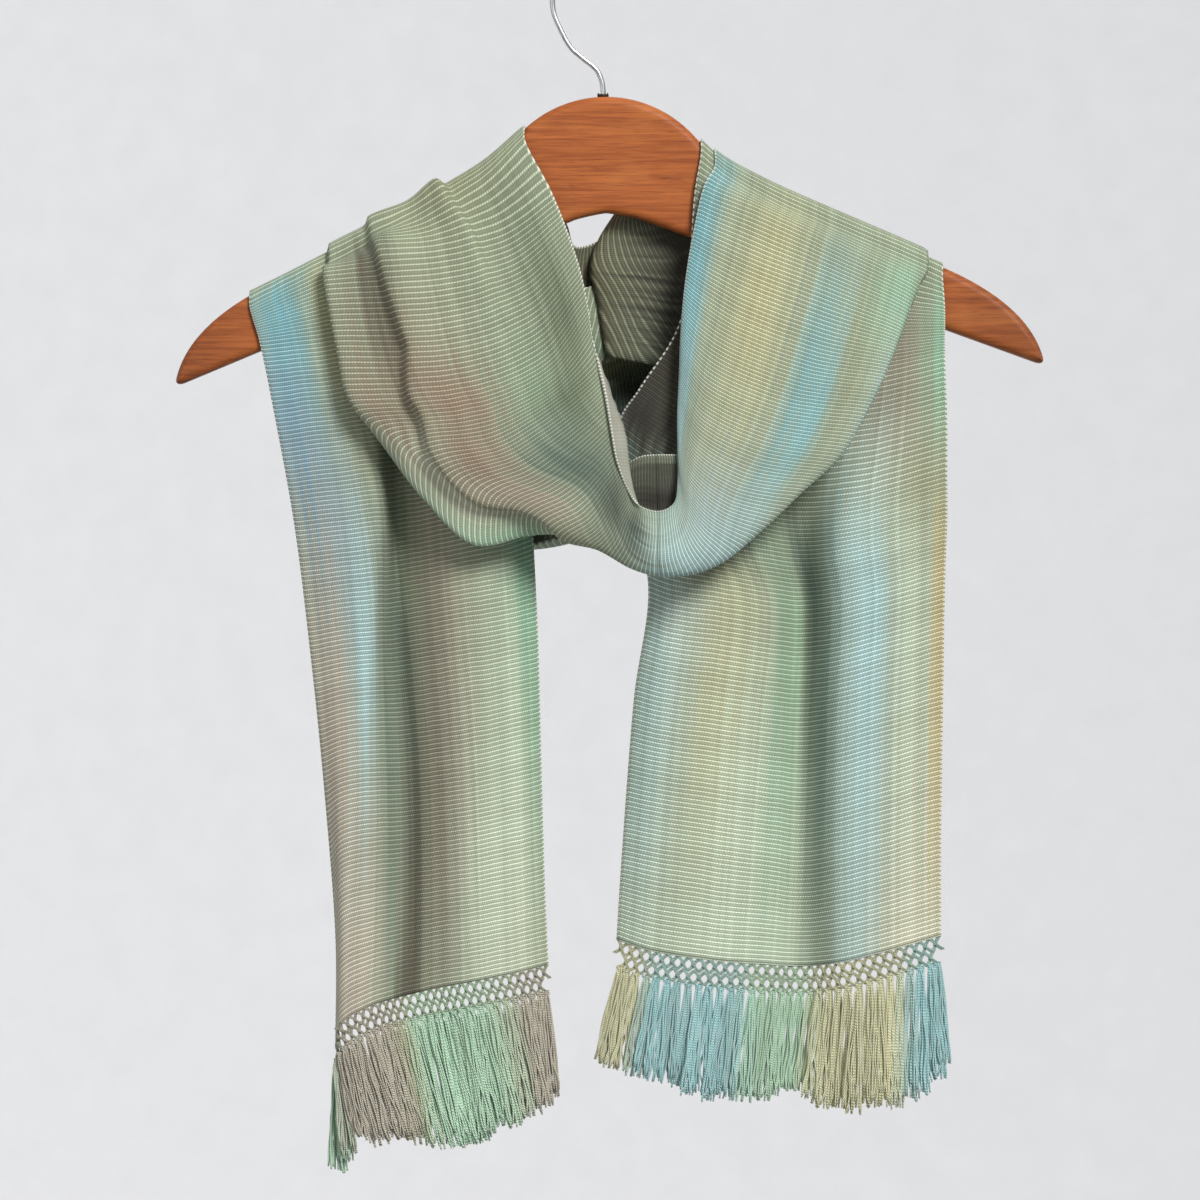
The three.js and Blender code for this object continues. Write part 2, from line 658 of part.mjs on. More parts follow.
const lastStation = sections.length - 1;
const STRETCHES = [
  { name: "tail_left", to: firstRow["left shoulder, inner"] + ARCH_TOP, colour: "sage" },
  { name: "back_pass_lower", to: firstRow["right shoulder, outer"] + ARCH_TOP, colour: "olive" },
  { name: "cowl_right", to: firstRow["cowl foot"], colour: "straw" },
  { name: "cowl_left", to: firstRow["left shoulder, outer"] + ARCH_TOP, colour: "sage" },
  { name: "back_pass_upper", to: firstRow["right shoulder, inner"] + ARCH_TOP, colour: "olive" },
  { name: "tail_right", to: lastStation, colour: "aqua" },
];

// How many parts the interval after a row is cut into: more over a shoulder of the board,
// fewer on the straight hang of a tail.
function partsAfter(row) {
  const overShoulder = runs.some(({ name, rows }) => {
    const first = firstRow[name];
    return name.includes("shoulder") && row >= first - 1 && row < first + rows.length;
  });
  if (overShoulder) {
    return 3;
  }
  const onTail = row < LEFT_TAIL.length - 2 || row > lastStation - RIGHT_TAIL.length + 2;
  return onTail ? 1 : 2;
}

// The stations from one place on the run to another.
function stationsBetween(from, to) {
  const least = 0.1;
  const stations = [from];
  for (let row = Math.floor(from); row < to; row += 1) {
    const parts = partsAfter(row);
    for (let k = 1; k <= parts; k += 1) {
      const station = row + k / parts;
      if (station > from + least && station < to - least) {
        stations.push(station);
      }
    }
  }
  stations.push(to);
  return stations;
}

// Half a seam, as a share of the row interval before a station.
function seamAt(station) {
  const probe = 0.1;
  const before = sectionAt(station - probe, CLOTH.across);
  const steps = sectionAt(station, CLOTH.across).map((place, j) => place.distanceTo(before[j]));
  return ((CLOTH.seam / 2) * probe) / Math.min(...steps);
}

function stretchPieces() {
  let from = 0;
  return STRETCHES.map(({ name, to, colour }) => {
    const start = from === 0 ? 0 : from + seamAt(from);
    const end = to === lastStation ? to : to - seamAt(to);
    from = to;
    const grid = clothGrid(stationsBetween(start, end));
    return piece(name, wallAround(grid, () => CLOTH.wall), COLOUR[colour], 0.85);
  });
}

// ---------------------------------------------------------------- knotted headers and fringe

// How low the fringe hangs, by the place across its header, 0 at the neck selvage.
const FRINGE_ENDS = {
  left: [
    { across: 0, x: -24, y: -3, z: -585 },
    { across: 0.3, x: -54, y: -7, z: -601 },
    { across: 0.6, x: -90, y: -4, z: -606 },
    { across: 0.85, x: -122, y: -6, z: -601 },
    { across: 1, x: -138, y: 4, z: -622 },
  ],
  right: [
    { across: 0, x: 0, y: -6, z: -571 },
    { across: 0.25, x: 44, y: -11, z: -587 },
    { across: 0.55, x: 90, y: -5, z: -590 },
    { across: 0.8, x: 136, y: -10, z: -590 },
    { across: 1, x: 175, y: -6, z: -566 },
  ],
};

// The middle line of the cloth's end, where the knots begin.
function headerLine(side) {
  const nearby = 0.1;
  if (side === "left") {
    return clothGrid([0, nearby])[0];
  }
  return clothGrid([lastStation - nearby, lastStation])[1];
}

// A grid from one line of points to another, in even steps.
function hangingGrid(top, bottom, steps) {
  const grid = [];
  for (let i = 0; i <= steps; i += 1) {
    grid.push(top.map((place, j) => place.clone().lerp(bottom[j], i / steps)));
  }
  return grid;
}

const shifted = (line, drop) => line.map((place) => place.clone().add(new THREE.Vector3(0, 0, -drop)));

function knotPiece(side) {
  const header = headerLine(side);
  const top = shifted(header, CLOTH.seam);
  const bottom = shifted(header, KNOTS.height);
  const geometry = wallAround(hangingGrid(bottom, top, KNOTS.steps), () => KNOTS.wall);
  return piece("knots_" + side, geometry, COLOUR.olive, 0.9);
}

function fringePiece(side) {
  const top = shifted(headerLine(side), KNOTS.height + 2 * CLOTH.seam);
  const ends = FRINGE_ENDS[side];
  const hang = new THREE.CatmullRomCurve3(
    ends.map(({ x, y, z }) => new THREE.Vector3(x, y, z)),
    false,
    "centripetal",
  );
  const bottom = top.map((_, j) => {
    const across = j / (top.length - 1);
    const next = Math.max(1, ends.findIndex((end) => end.across >= across));
    const share = (across - ends[next - 1].across) / (ends[next].across - ends[next - 1].across);
    return hang.getPoint((next - 1 + share) / (ends.length - 1));
  });
  const thickness = (t) => FRINGE.wall * (1 - FRINGE.taper * t ** FRINGE.taperPower);
  const geometry = wallAround(hangingGrid(bottom, top, FRINGE.steps), thickness);
  return piece("fringe_" + side, geometry, side === "left" ? COLOUR.mint : COLOUR.straw, 0.9);
}

// ---------------------------------------------------------------- the whole object

const scarfOnHanger = new THREE.Group();
scarfOnHanger.add(boardPiece(), hookPiece(), ferrulePiece());
scarfOnHanger.add(...stretchPieces());
for (const side of ["left", "right"]) {
  scarfOnHanger.add(knotPiece(side), fringePiece(side));
}

export default scarfOnHanger;
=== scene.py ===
import functools
import json
import math

import bmesh
import bpy
import numpy as np
from mathutils import Matrix, Vector
from mathutils.geometry import tessellate_polygon

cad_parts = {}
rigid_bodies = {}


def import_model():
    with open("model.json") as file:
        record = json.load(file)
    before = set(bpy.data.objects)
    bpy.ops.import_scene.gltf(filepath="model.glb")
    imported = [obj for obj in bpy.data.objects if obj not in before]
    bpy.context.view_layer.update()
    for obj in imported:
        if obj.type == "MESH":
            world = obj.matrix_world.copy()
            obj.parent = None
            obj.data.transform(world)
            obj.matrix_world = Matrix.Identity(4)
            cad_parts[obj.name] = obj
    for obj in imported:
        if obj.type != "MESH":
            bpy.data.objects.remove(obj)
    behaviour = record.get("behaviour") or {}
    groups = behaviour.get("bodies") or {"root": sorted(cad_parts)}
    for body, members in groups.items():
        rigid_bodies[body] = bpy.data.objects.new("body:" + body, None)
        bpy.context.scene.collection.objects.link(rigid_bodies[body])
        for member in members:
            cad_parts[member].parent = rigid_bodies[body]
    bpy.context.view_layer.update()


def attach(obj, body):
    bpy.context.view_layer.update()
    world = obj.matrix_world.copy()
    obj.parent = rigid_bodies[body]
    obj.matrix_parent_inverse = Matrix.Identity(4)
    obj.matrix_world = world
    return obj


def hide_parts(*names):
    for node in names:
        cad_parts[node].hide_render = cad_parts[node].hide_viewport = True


bl_info = {
    "name": "Fringed scarf on a coat hanger",
    "version": (1, 0, 0),
    "blender": (4, 5, 0),
    "location": "3D View > Sidebar > Scarf",
    "description": "Builds a ribbed, fringed scarf wound round a wooden coat hanger",
    "category": "Add Mesh",
}

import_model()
MM = 0.001

# ---------------------------------------------------------------- the scarf's sections

# Each row is one section across the cloth, a line of weft, in millimetres. Its columns are the
# places x, y, z that it passes through, from the selvage nearest the neck to the outer selvage.
COLUMNS = ("neck", "roll", "chest", "flank", "rim", "tuck", "outer")
LEFT_TAIL = [
    ((-28, -6, -519), (-45, -10, -523), (-70, -9, -528), (-97, 2, -534),
     (-119, -9, -540), (-134, -7, -549), (-137, 4, -560)),
    ((-30, -6, -473), (-45, -11, -477), (-72, -11, -482), (-99, 4, -487),
     (-121, -9, -491), (-133, -11, -495), (-137, 1, -505)),
    ((-32, -6, -406), (-48, -12, -410), (-74, -12, -416), (-101, 6, -420),
     (-124, -14, -421), (-133, -13, -423), (-142.6, -3, -428)),
    ((-34, -7, -337), (-50, -13, -341), (-78, -13, -346), (-106, 7, -351),
     (-119, -15, -352), (-134, -14, -354), (-150, -7, -357)),
    ((-38, -8, -270), (-53, -13, -276), (-79, -13, -282), (-106, 5, -287),
     (-115, -15, -288), (-137, -14, -291), (-158, -8, -293)),
    ((-45, -9.5, -209), (-60, -12, -215), (-84, -12, -223), (-105, -4, -229),
     (-117, -13, -231), (-144, -12, -235), (-168, -9, -238)),
    ((-55, -9.5, -163), (-67, -10, -169), (-87, -10.5, -179), (-106, -9.5, -186),
     (-124, -10, -191), (-152, -10, -196), (-176, -9, -199)),
]

LOWER_BACK = [
    ((-60, 9, -136), (-70, 9.5, -144), (-88, 9.5, -156), (-107, 9.5, -168),
     (-126, 9.5, -180), (-148, 9.5, -192), (-170, 9, -202)),
    ((-47, 9, -172), (-55, 9, -182), (-70, 9.5, -202), (-87, 10, -221),
     (-104, 10, -238), (-125, 9.5, -256), (-143, 9, -270)),
    ((-32, 12, -228), (-36, 15, -235), (-45, 18, -250), (-55, 19, -267),
     (-66, 16, -284), (-78, 12, -299), (-90, 8, -310)),
    ((-12, 23, -226), (-13, 27, -233), (-17, 30, -250), (-22, 31, -271),
     (-28, 26, -292), (-33, 15, -305), (-38, 5, -304)),
    ((4, 24.5, -204), (5, 28, -211), (8, 32, -236), (8, 33, -262),
     (8, 27, -285), (8, 16, -295), (8, 5, -288)),
    ((37, 25, -196), (43, 28, -206), (54, 32, -227), (66, 33, -250),
     (80, 28, -268), (82, 20, -274), (68, 15, -254)),
    ((49, 21, -164), (57, 23, -173), (76, 27, -193), (100, 28, -213),
     (127, 24, -231), (126, 18, -232), (97, 16.5, -212)),
    ((55, 14, -132), (63, 15, -137), (87, 18, -152), (122, 18, -170),
     (158, 16, -188), (152, 13.5, -186), (114, 13, -166)),
]

RIGHT_COWL = [
    ((52, -13, -119), (58, -14, -122), (81, -16, -132), (122, -17, -151),
     (162, -16, -171), (156, -13.5, -170), (112, -13, -152)),
    ((46, -16, -145), (52, -18, -148), (75, -22, -159), (119, -24, -176),
     (154, -21, -191), (147, -17, -190), (101, -15.5, -174)),
    ((42, -19, -170), (48, -22, -175), (68, -28, -188), (111, -31, -204),
     (146, -27, -211), (139, -21, -211), (93, -19, -198)),
    ((40, -23, -193), (44, -27, -199), (58, -34, -211), (97, -38, -227),
     (136, -33, -232), (128, -26, -232), (83, -23, -220)),
    ((39, -27, -217), (42, -32, -224), (51, -40, -237), (82, -44, -252),
     (121, -38, -258), (112, -30, -258), (72, -26, -241)),
    ((38, -32, -237), (40, -37, -245), (47, -45, -258), (69, -49, -272),
     (101, -43, -277), (92, -34, -277), (60, -29, -252)),
    ((38, -38, -255), (39, -43, -262), (44, -50, -275), (58, -54, -289),
     (80, -48, -297), (72, -38, -296), (50, -32, -257)),
    ((38, -44, -271), (39, -48, -277), (42, -54, -288), (50, -58, -301),
     (61, -52, -312), (56, -42, -311), (43, -34, -258)),
    ((36, -50, -283), (36, -53, -287), (37, -57, -296), (40, -61, -308),
     (45, -56, -318), (43, -45, -316), (36, -35, -258)),
]

COWL_FOOT = [
    ((29, -52, -287), (29, -55, -291), (29, -58, -299), (29, -62, -311),
     (30, -57, -319.5), (30, -46, -317), (28, -36, -258)),
]

LEFT_COWL = [
    ((20, -51, -285), (21, -53, -289), (20, -56, -298), (18, -55, -309),
     (15, -50, -316), (17, -43, -313), (19, -36, -259)),
    ((13, -46, -277), (16, -45, -279), (10, -49, -293), (6, -53, -302),
     (1, -49, -308), (3, -42, -305), (9, -35, -265)),
    ((7, -44, -262), (13, -41, -263), (3, -48, -281), (-6, -53, -293),
     (-17, -47, -299), (-14, -38, -299), (-4, -33, -272)),
    ((4, -40, -246), (11, -36, -246), (-4, -44, -266), (-20, -50, -280),
     (-37, -44, -288), (-37, -36, -299), (-19, -31, -277)),
    ((1, -34, -228), (5, -31, -229), (-14, -40, -248), (-39, -46, -266),
     (-62, -41, -276), (-65, -35, -304), (-43, -28, -277)),
    ((-3, -28, -210), (-1, -27, -212), (-22, -35, -232), (-57, -42, -253),
     (-93, -37, -261), (-90, -31, -281), (-62, -26, -262)),
    ((-6, -24, -195), (-7, -25, -198), (-26, -31, -222), (-68, -38, -242),
     (-110, -33, -248), (-105, -27, -261), (-79, -23, -250)),
    ((-8, -21, -181), (-11, -23, -185), (-31, -28, -210), (-78, -34, -228),
     (-128, -29, -232), (-122, -23, -233), (-91, -20.5, -234)),
    ((-13, -17, -159), (-17, -19, -164), (-38, -24, -186), (-84, -28, -202),
     (-136, -24, -204), (-129, -18.5, -205), (-96, -17, -207)),
    ((-26, -13, -124), (-31, -14, -128), (-53, -17, -143), (-94, -20, -153),
     (-143, -18, -162), (-137, -14.5, -162), (-107, -13.5, -158)),
]

UPPER_BACK = [
    ((-31, 12, -122), (-37, 13, -128), (-57, 15, -144), (-92, 17, -166),
     (-130, 16, -186), (-124, 13.5, -186), (-94, 13, -174)),
    ((-19, 13, -138), (-23, 15, -144), (-36, 18, -166), (-60, 20, -196),
     (-88, 19, -222), (-80, 14.5, -219), (-54, 13.5, -188)),
    ((-14, 14.5, -150), (-16, 16.5, -157), (-21, 18, -176), (-27, 18, -196),
     (-36, 16.5, -217), (-30, 12.5, -211), (-18, 12.5, -174)),
    ((5, 15.5, -142), (5, 17.5, -150), (5, 19.5, -170), (6, 20, -190),
     (7, 18.5, -208), (8, 15.5, -204), (8, 15.8, -166)),
    ((6, 11.5, -134), (-2, 12, -147), (-6.5, 12, -161), (-3, 12, -177),
     (3, 12.5, -207), (5, 14.2, -204), (2, 14.2, -166)),
    ((16, 8.8, -131), (14, 8.8, -142), (14, 8.6, -160), (18, 8.6, -180),
     (20, 9, -210), (21, 12.6, -207), (18, 12.4, -166)),
    ((32, 9.2, -127), (35, 9, -137), (41, 8.6, -160), (50, 8.6, -186),
     (62, 9.4, -215), (66, 13, -210), (52, 12.6, -164)),
    ((45, 9, -124), (52, 9, -131), (72, 9, -147), (96, 9.5, -164),
     (122, 9.5, -180), (143, 9.5, -192), (160, 9, -200)),
]

RIGHT_TAIL = [
    ((47, -10, -122), (56, -10.5, -127), (76, -10.5, -139), (101, -10.5, -153),
     (128, -10.5, -168), (152, -10.5, -178), (175, -9.5, -182)),
    ((39, -12, -190), (49, -12, -196), (68, -12, -206), (91, -12, -215),
     (118, -11, -217), (147, -12, -213), (175, -10, -207)),
    ((19, -15, -223), (31, -16, -231), (54, -18, -242), (82, -16, -251),
     (108, -11, -252), (139, -15, -248), (176, -11, -239)),
    ((8, -17, -241), (22, -19, -251), (48, -22, -265), (80, -19, -278),
     (101, -7, -281), (128, -18, -279), (176, -12, -266)),
    ((8, -17, -281), (22, -20, -289), (50, -23, -299), (84, -17, -306),
     (101, -3, -308), (122, -20, -306), (176, -12, -292)),
    ((23, -13, -321), (33, -19, -325), (56, -22, -329), (86, -14, -334),
     (101, 0, -336), (122, -20, -333), (175, -12, -318)),
    ((16, -10, -383), (28, -17, -386), (55, -20, -390), (87, -10, -395),
     (101, 2, -397), (122, -18, -393), (174, -11, -378)),
    ((10, -8, -460), (24, -14, -463), (55, -17, -468), (87, -8, -473),
     (101, 1, -475), (122, -15, -471), (173, -9, -457)),
    ((7, -7, -506), (22, -11, -511), (53, -14, -516), (86, -7, -519),
     (101, 0, -520), (124, -12, -517), (173, -8, -504)),
]

# ---------------------------------------------------------------- the hanger's sizes, in mm

# The hook's stem is x, height over the board's top; its bend is an arc between the two angles.
HOOK = dict(wire=1.4, bend=26, open_angle=5, join_angle=207, arc_points=17, path_points=260)
HOOK_STEM = ((0, -1.5), (0, 3), (-0.8, 8.5), (-3.4, 14), (-10.5, 20), (-16.6, 25.5))
FERRULE = dict(radius=2.2, rise=0.7, thick=0.8, spike_x=2.3, spike_radii=(0.7, 0.55, 0.2))
BOARD = dict(
    drop=74, roll=math.radians(1.4), edge=4.2, dome=61, dome_half=46, flank_x=84, flank_drop=50,
    slope=0.4725, end_x=175, elbow_x=215.3, elbow_drop=112.4, tip_x=222.2, tip_drop=139,
    foot_x=218.5, foot_drop=141.6, apex_drop=56.4, apex_half=16, under_slope=0.391,
    half_span=223.5, face_inset=1.5,
)


def crown_drop(x):
    """How far the level board's top edge lies below its crown, at a distance x from the middle."""
    b = BOARD
    reach = abs(x)
    if reach <= b["dome_half"]:
        return b["dome"] - math.sqrt(b["dome"] ** 2 - reach**2)
    if reach >= b["flank_x"]:
        return b["flank_drop"] + b["slope"] * (reach - b["flank_x"])
    start = crown_drop(b["dome_half"])
    lean = b["dome_half"] / math.sqrt(b["dome"] ** 2 - b["dome_half"] ** 2)
    span = b["flank_x"] - b["dome_half"]
    t = (reach - b["dome_half"]) / span
    return (
        start * (2 * t**3 - 3 * t**2 + 1)
        + lean * span * (t**3 - 2 * t**2 + t)
        + b["flank_drop"] * (3 * t**2 - 2 * t**3)
        + b["slope"] * span * (t**3 - t**2)
    )


def board_top(x):
    """The height of the hung, slightly rolled board's top edge at x."""
    level = x - math.sin(BOARD["roll"]) * crown_drop(x)
    return -BOARD["drop"] - crown_drop(level) + math.sin(BOARD["roll"]) * level


# ---------------------------------------------------------------- the run of the cloth

INNER, FLAP = 1.5, 3.3
OVER_SHOULDER = {
    "left inner": ((-64, -73, -91, -110, -129, -155, -181), (INNER,) * 7),
    "left outer": ((-40, -44, -62, -99, -141, -135, -107), (1.6, 2.4, 5.2, 5.6, 5.1, 3.4, FLAP)),
    "right inner": ((50, 57, 77, 102, 128, 152, 174), (INNER,) * 7),
    "right outer": ((57, 63, 87, 127, 166, 160, 118), (3.3, 3.7, 5, 5, 5, 3.4, FLAP)),
}
# The arch from the board's front face over its top edge to its back face: side, y, drop, and the
# shares of the cloth's lift that go upwards and outwards.
ARCH = (
    (-1, 7, 6, 0, 1),
    (-1, 6, 0.9, 0.75, 0.75),
    (0, 0, 0, 1, 0),
    (1, 6, 0.9, 0.75, 0.75),
    (1, 7, 6, 0, 1),
)
ARCH_TOP = 2


def shoulder_rows(name, front_first):
    xs, lifts = OVER_SHOULDER[name]
    rows = [
        tuple(
            (x, side * (y + up * out), board_top(x) + up * rise - drop) for x, up in zip(xs, lifts)
        )
        for side, y, drop, rise, out in ARCH
    ]
    return rows if front_first else rows[::-1]


RUNS = (
    ("left tail", LEFT_TAIL),
    ("left shoulder, inner", shoulder_rows("left inner", True)),
    ("lower back", LOWER_BACK),
    ("right shoulder, outer", shoulder_rows("right outer", False)),
    ("right cowl", RIGHT_COWL),
    ("cowl foot", COWL_FOOT),
    ("left cowl", LEFT_COWL),
    ("left shoulder, outer", shoulder_rows("left outer", True)),
    ("upper back", UPPER_BACK),
    ("right shoulder, inner", shoulder_rows("right inner", False)),
    ("right tail", RIGHT_TAIL),
)
FIRST_ROW = {}
SECTIONS = []
for run_name, run_rows in RUNS:
    FIRST_ROW[run_name] = len(SECTIONS)
    SECTIONS.extend(run_rows)
SECTIONS = np.array(SECTIONS, dtype=float)
LAST = len(SECTIONS) - 1

# Creases and folds, laid on the sections: kind, run, the path as (row, across) places, height in
# mm, half width and side. A lap drops at once on its side, and a ridge is even.
FOLDS = (
    ("lap", "left cowl", ((1.2, 0.63), (3, 0.62), (7, 0.60), (8, 0.555), (9, 0.585), (12.5, 0.60)),
     9.5, 0.13, 1),
    ("lap", "left cowl", ((8.0, 0.27), (13, 0.38)), 6, 0.08, -1),
    ("ridge", "left cowl", ((4.0, 0.50), (8.0, 0.47)), 2.5, 0.04, 0),
    ("ridge", "right cowl", ((2, 0.30), (8, 0.36)), 1.6, 0.07, 0),
    ("ridge", "lower back", ((2.2, 0.22), (7, 0.24)), 6, 0.05, 0),
    ("ridge", "lower back", ((2.0, 0.46), (7, 0.48)), 7, 0.055, 0),
    ("ridge", "lower back", ((1.8, 0.70), (7, 0.68)), 6, 0.05, 0),
)

# The stretches between the seams: piece, first run and row, last run and row, material slot.
STRETCHES = (
    ("tail_left", "left tail", 0, "left shoulder, inner", ARCH_TOP, "cloth_tail_left"),
    ("back_pass_lower", "left shoulder, inner", ARCH_TOP, "right shoulder, outer", ARCH_TOP,
     "cloth_back"),
    ("cowl_right", "right shoulder, outer", ARCH_TOP, "cowl foot", 0, "cloth_cowl_right"),
    ("cowl_left", "cowl foot", 0, "left shoulder, outer", ARCH_TOP, "cloth_cowl_left"),
    ("back_pass_upper", "left shoulder, outer", ARCH_TOP, "right shoulder, inner", ARCH_TOP,
     "cloth_back"),
    ("tail_right", "right shoulder, inner", ARCH_TOP, "right tail", len(RIGHT_TAIL) - 1,
     "cloth_tail_right"),
)

FADE_POWER = 0.7  # how soon a fold is at its full height
LAP_SHARE = 0.12  # the width of a lap's steep side, as a share of its soft side
# A slight ripple over the whole cloth: height and wavelength along in mm, waves across.
RIPPLE = dict(height=0.35, along=34, across=9, seed=3)
# Points in each section before the last spacing, and stations to each row for measuring.
FINE = 200
COARSE = 24

# ---------------------------------------------------------------- curves and grids


def running(steps):
    """0, and then the running total of the steps."""
    return np.concatenate([[0], np.cumsum(steps)])


def length_along(path):
    return running(np.linalg.norm(np.diff(path, axis=0), axis=1))


def read_table(where, places, rows):
    """The rows' values between their places, read at where."""
    return np.stack([np.interp(where, places, column) for column in np.asarray(rows).T], axis=-1)


def quads(ids, flip=False):
    """The faces between the neighbours in a grid of vertex numbers."""
    a, b, c, d = ids[:-1, :-1], ids[:-1, 1:], ids[1:, 1:], ids[1:, :-1]
    return np.stack([a, d, c, b] if flip else [a, b, c, d], axis=-1).reshape(-1, 4)


def ring_ids(rows, sides):
    """Vertex numbers of rings one after another, each closed by its own first vertex."""
    ids = np.arange(rows * sides).reshape(rows, sides)
    return np.concatenate([ids, ids[:, :1]], axis=1)


def centripetal(points, stations):
    """Smooth curves through points[k], all at once, at stations counted in points."""
    n = len(points)
    before = 2 * points[0] - points[1]
    after = 2 * points[-1] - points[-2]
    padded = np.concatenate([before[None], points, after[None]])
    k = np.clip(np.floor(stations).astype(int), 0, n - 2)
    t = (stations - k).reshape((-1,) + (1,) * (points.ndim - 1))
    p0, p1, p2, p3 = (padded[k + i] for i in range(4))

    def gap(a, b):
        return np.maximum(np.sqrt(np.linalg.norm(a - b, axis=-1, keepdims=True)), 1e-3)

    d0, d1, d2 = gap(p0, p1), gap(p1, p2), gap(p2, p3)
    m1 = ((p1 - p0) / d0 - (p2 - p0) / (d0 + d1) + (p2 - p1) / d1) * d1
    m2 = ((p2 - p1) / d1 - (p3 - p1) / (d1 + d2) + (p3 - p2) / d2) * d1
    return p1 + t * (m1 + t * ((-3 * p1 + 3 * p2 - 2 * m1 - m2) + t * (2 * p1 - 2 * p2 + m1 + m2)))


def grid_normals(grid):
    along = np.gradient(grid, axis=0)
    over = np.gradient(grid, axis=1)
    n = np.cross(along, over)
    return n / np.maximum(np.linalg.norm(n, axis=2, keepdims=True), 1e-9)


def resample(grid, count):
    """Each row's points spread evenly along it."""
    steps = np.linalg.norm(np.diff(grid, axis=1), axis=2)
    reach = np.concatenate([np.zeros((len(grid), 1)), np.cumsum(steps, axis=1)], axis=1)
    out = np.empty((len(grid), count, grid.shape[2]))
    for i, row in enumerate(grid):
        out[i] = read_table(np.linspace(0, reach[i, -1], count), reach[i], row)
    return out


def fold_height(stations, across):
    height = np.zeros((len(stations), len(across)))
    s = stations[:, None]
    u = across[None, :]
    for kind, run, path, high, wide, side in FOLDS:
        rows = np.array([row for row, _ in path]) + FIRST_ROW[run]
        t = (s - rows[0]) / (rows[-1] - rows[0])
        fade = np.where((t > 0) & (t < 1), np.sin(np.pi * np.clip(t, 0, 1)) ** FADE_POWER, 0)
        off = u - np.interp(s, rows, [place for _, place in path])
        half = np.where((off * side > 0) & (kind == "lap"), wide * LAP_SHARE, wide)
        height += high * fade * np.exp(-((off / half) ** 2))
    return height


def drift(a, b, seed):
    """A smooth uneven field over two coordinates, about -1 to 1."""
    rng = np.random.default_rng(seed)
    total = np.zeros(np.broadcast(a, b).shape)
    waves = 7
    for _ in range(waves):
        fa, fb = rng.uniform(0.5, 1.7, 2)
        start = rng.uniform(0, 6.3)
        total = total + np.sin(a * fa + start + 1.3 * np.sin(b * fb + rng.uniform(0, 6.3)))
    return total / waves


def cloth_grid(step, count):
    """The whole middle surface: points, station and length along of each row."""
    coarse = np.linspace(0, LAST, LAST * COARSE + 1)
    reach = length_along(centripetal(SECTIONS[:, 2:5].mean(axis=1)[:, None, :], coarse)[:, 0])
    rows = int(reach[-1] / step)
    stations = np.interp(np.linspace(0, reach[-1], rows + 1), reach, coarse)
    anchors = centripetal(SECTIONS, stations)
    fine = np.linspace(0, len(COLUMNS) - 1, FINE)
    grid = resample(centripetal(anchors.transpose(1, 0, 2), fine).transpose(1, 0, 2), FINE)
    across = np.linspace(0, 1, FINE)
    along = np.interp(stations, coarse, reach)[:, None] / RIPPLE["along"]
    ripple = drift(along, across[None, :] * RIPPLE["across"], RIPPLE["seed"])
    lift = fold_height(stations, across) + RIPPLE["height"] * ripple
    grid = resample(grid + grid_normals(grid) * lift[:, :, None], count)
    steps = np.linalg.norm(np.diff(grid, axis=0), axis=2).mean(axis=1)
    return grid, stations, running(steps)


# ---------------------------------------------------------------- the dyes

DYES_AND_SHADES = {
    "sage": (0.43, 0.51, 0.36),
    "pale sage": (0.72, 0.86, 0.68),
    "cream": (0.86, 0.86, 0.68),
    "mint": (0.36, 0.64, 0.45),
    "aqua": (0.24, 0.58, 0.66),
    "pale aqua": (0.52, 0.80, 0.84),
    "blue": (0.24, 0.46, 0.66),
    "lilac": (0.38, 0.48, 0.55),
    "taupe": (0.42, 0.35, 0.28),
    "pale taupe": (0.68, 0.60, 0.51),
    "brown": (0.33, 0.245, 0.17),
    "olive": (0.37, 0.37, 0.20),
    "straw": (0.62, 0.60, 0.33),
    "gold": (0.74, 0.55, 0.22),
    "fern": (0.22, 0.37, 0.24),
    "pine": (0.17, 0.22, 0.135),
    "spruce": (0.12, 0.19, 0.15),
    # Painted shade, not dye: shade, olive shade, moss, peat and black are laid only where the cloth
    # lies in shadow. Deep teal is painted shade on the cloth's inner side.
    "shade": (0.12, 0.11, 0.075),
    "teal": (0.12, 0.24, 0.22),
    "moss": (0.15, 0.14, 0.08),
    "olive shade": (0.22, 0.20, 0.11),
    "peat": (0.05, 0.045, 0.022),
    "deep teal": (0.035, 0.06, 0.05),
    "black": (0.015, 0.013, 0.008),
    "grey": (0.42, 0.42, 0.36),
}
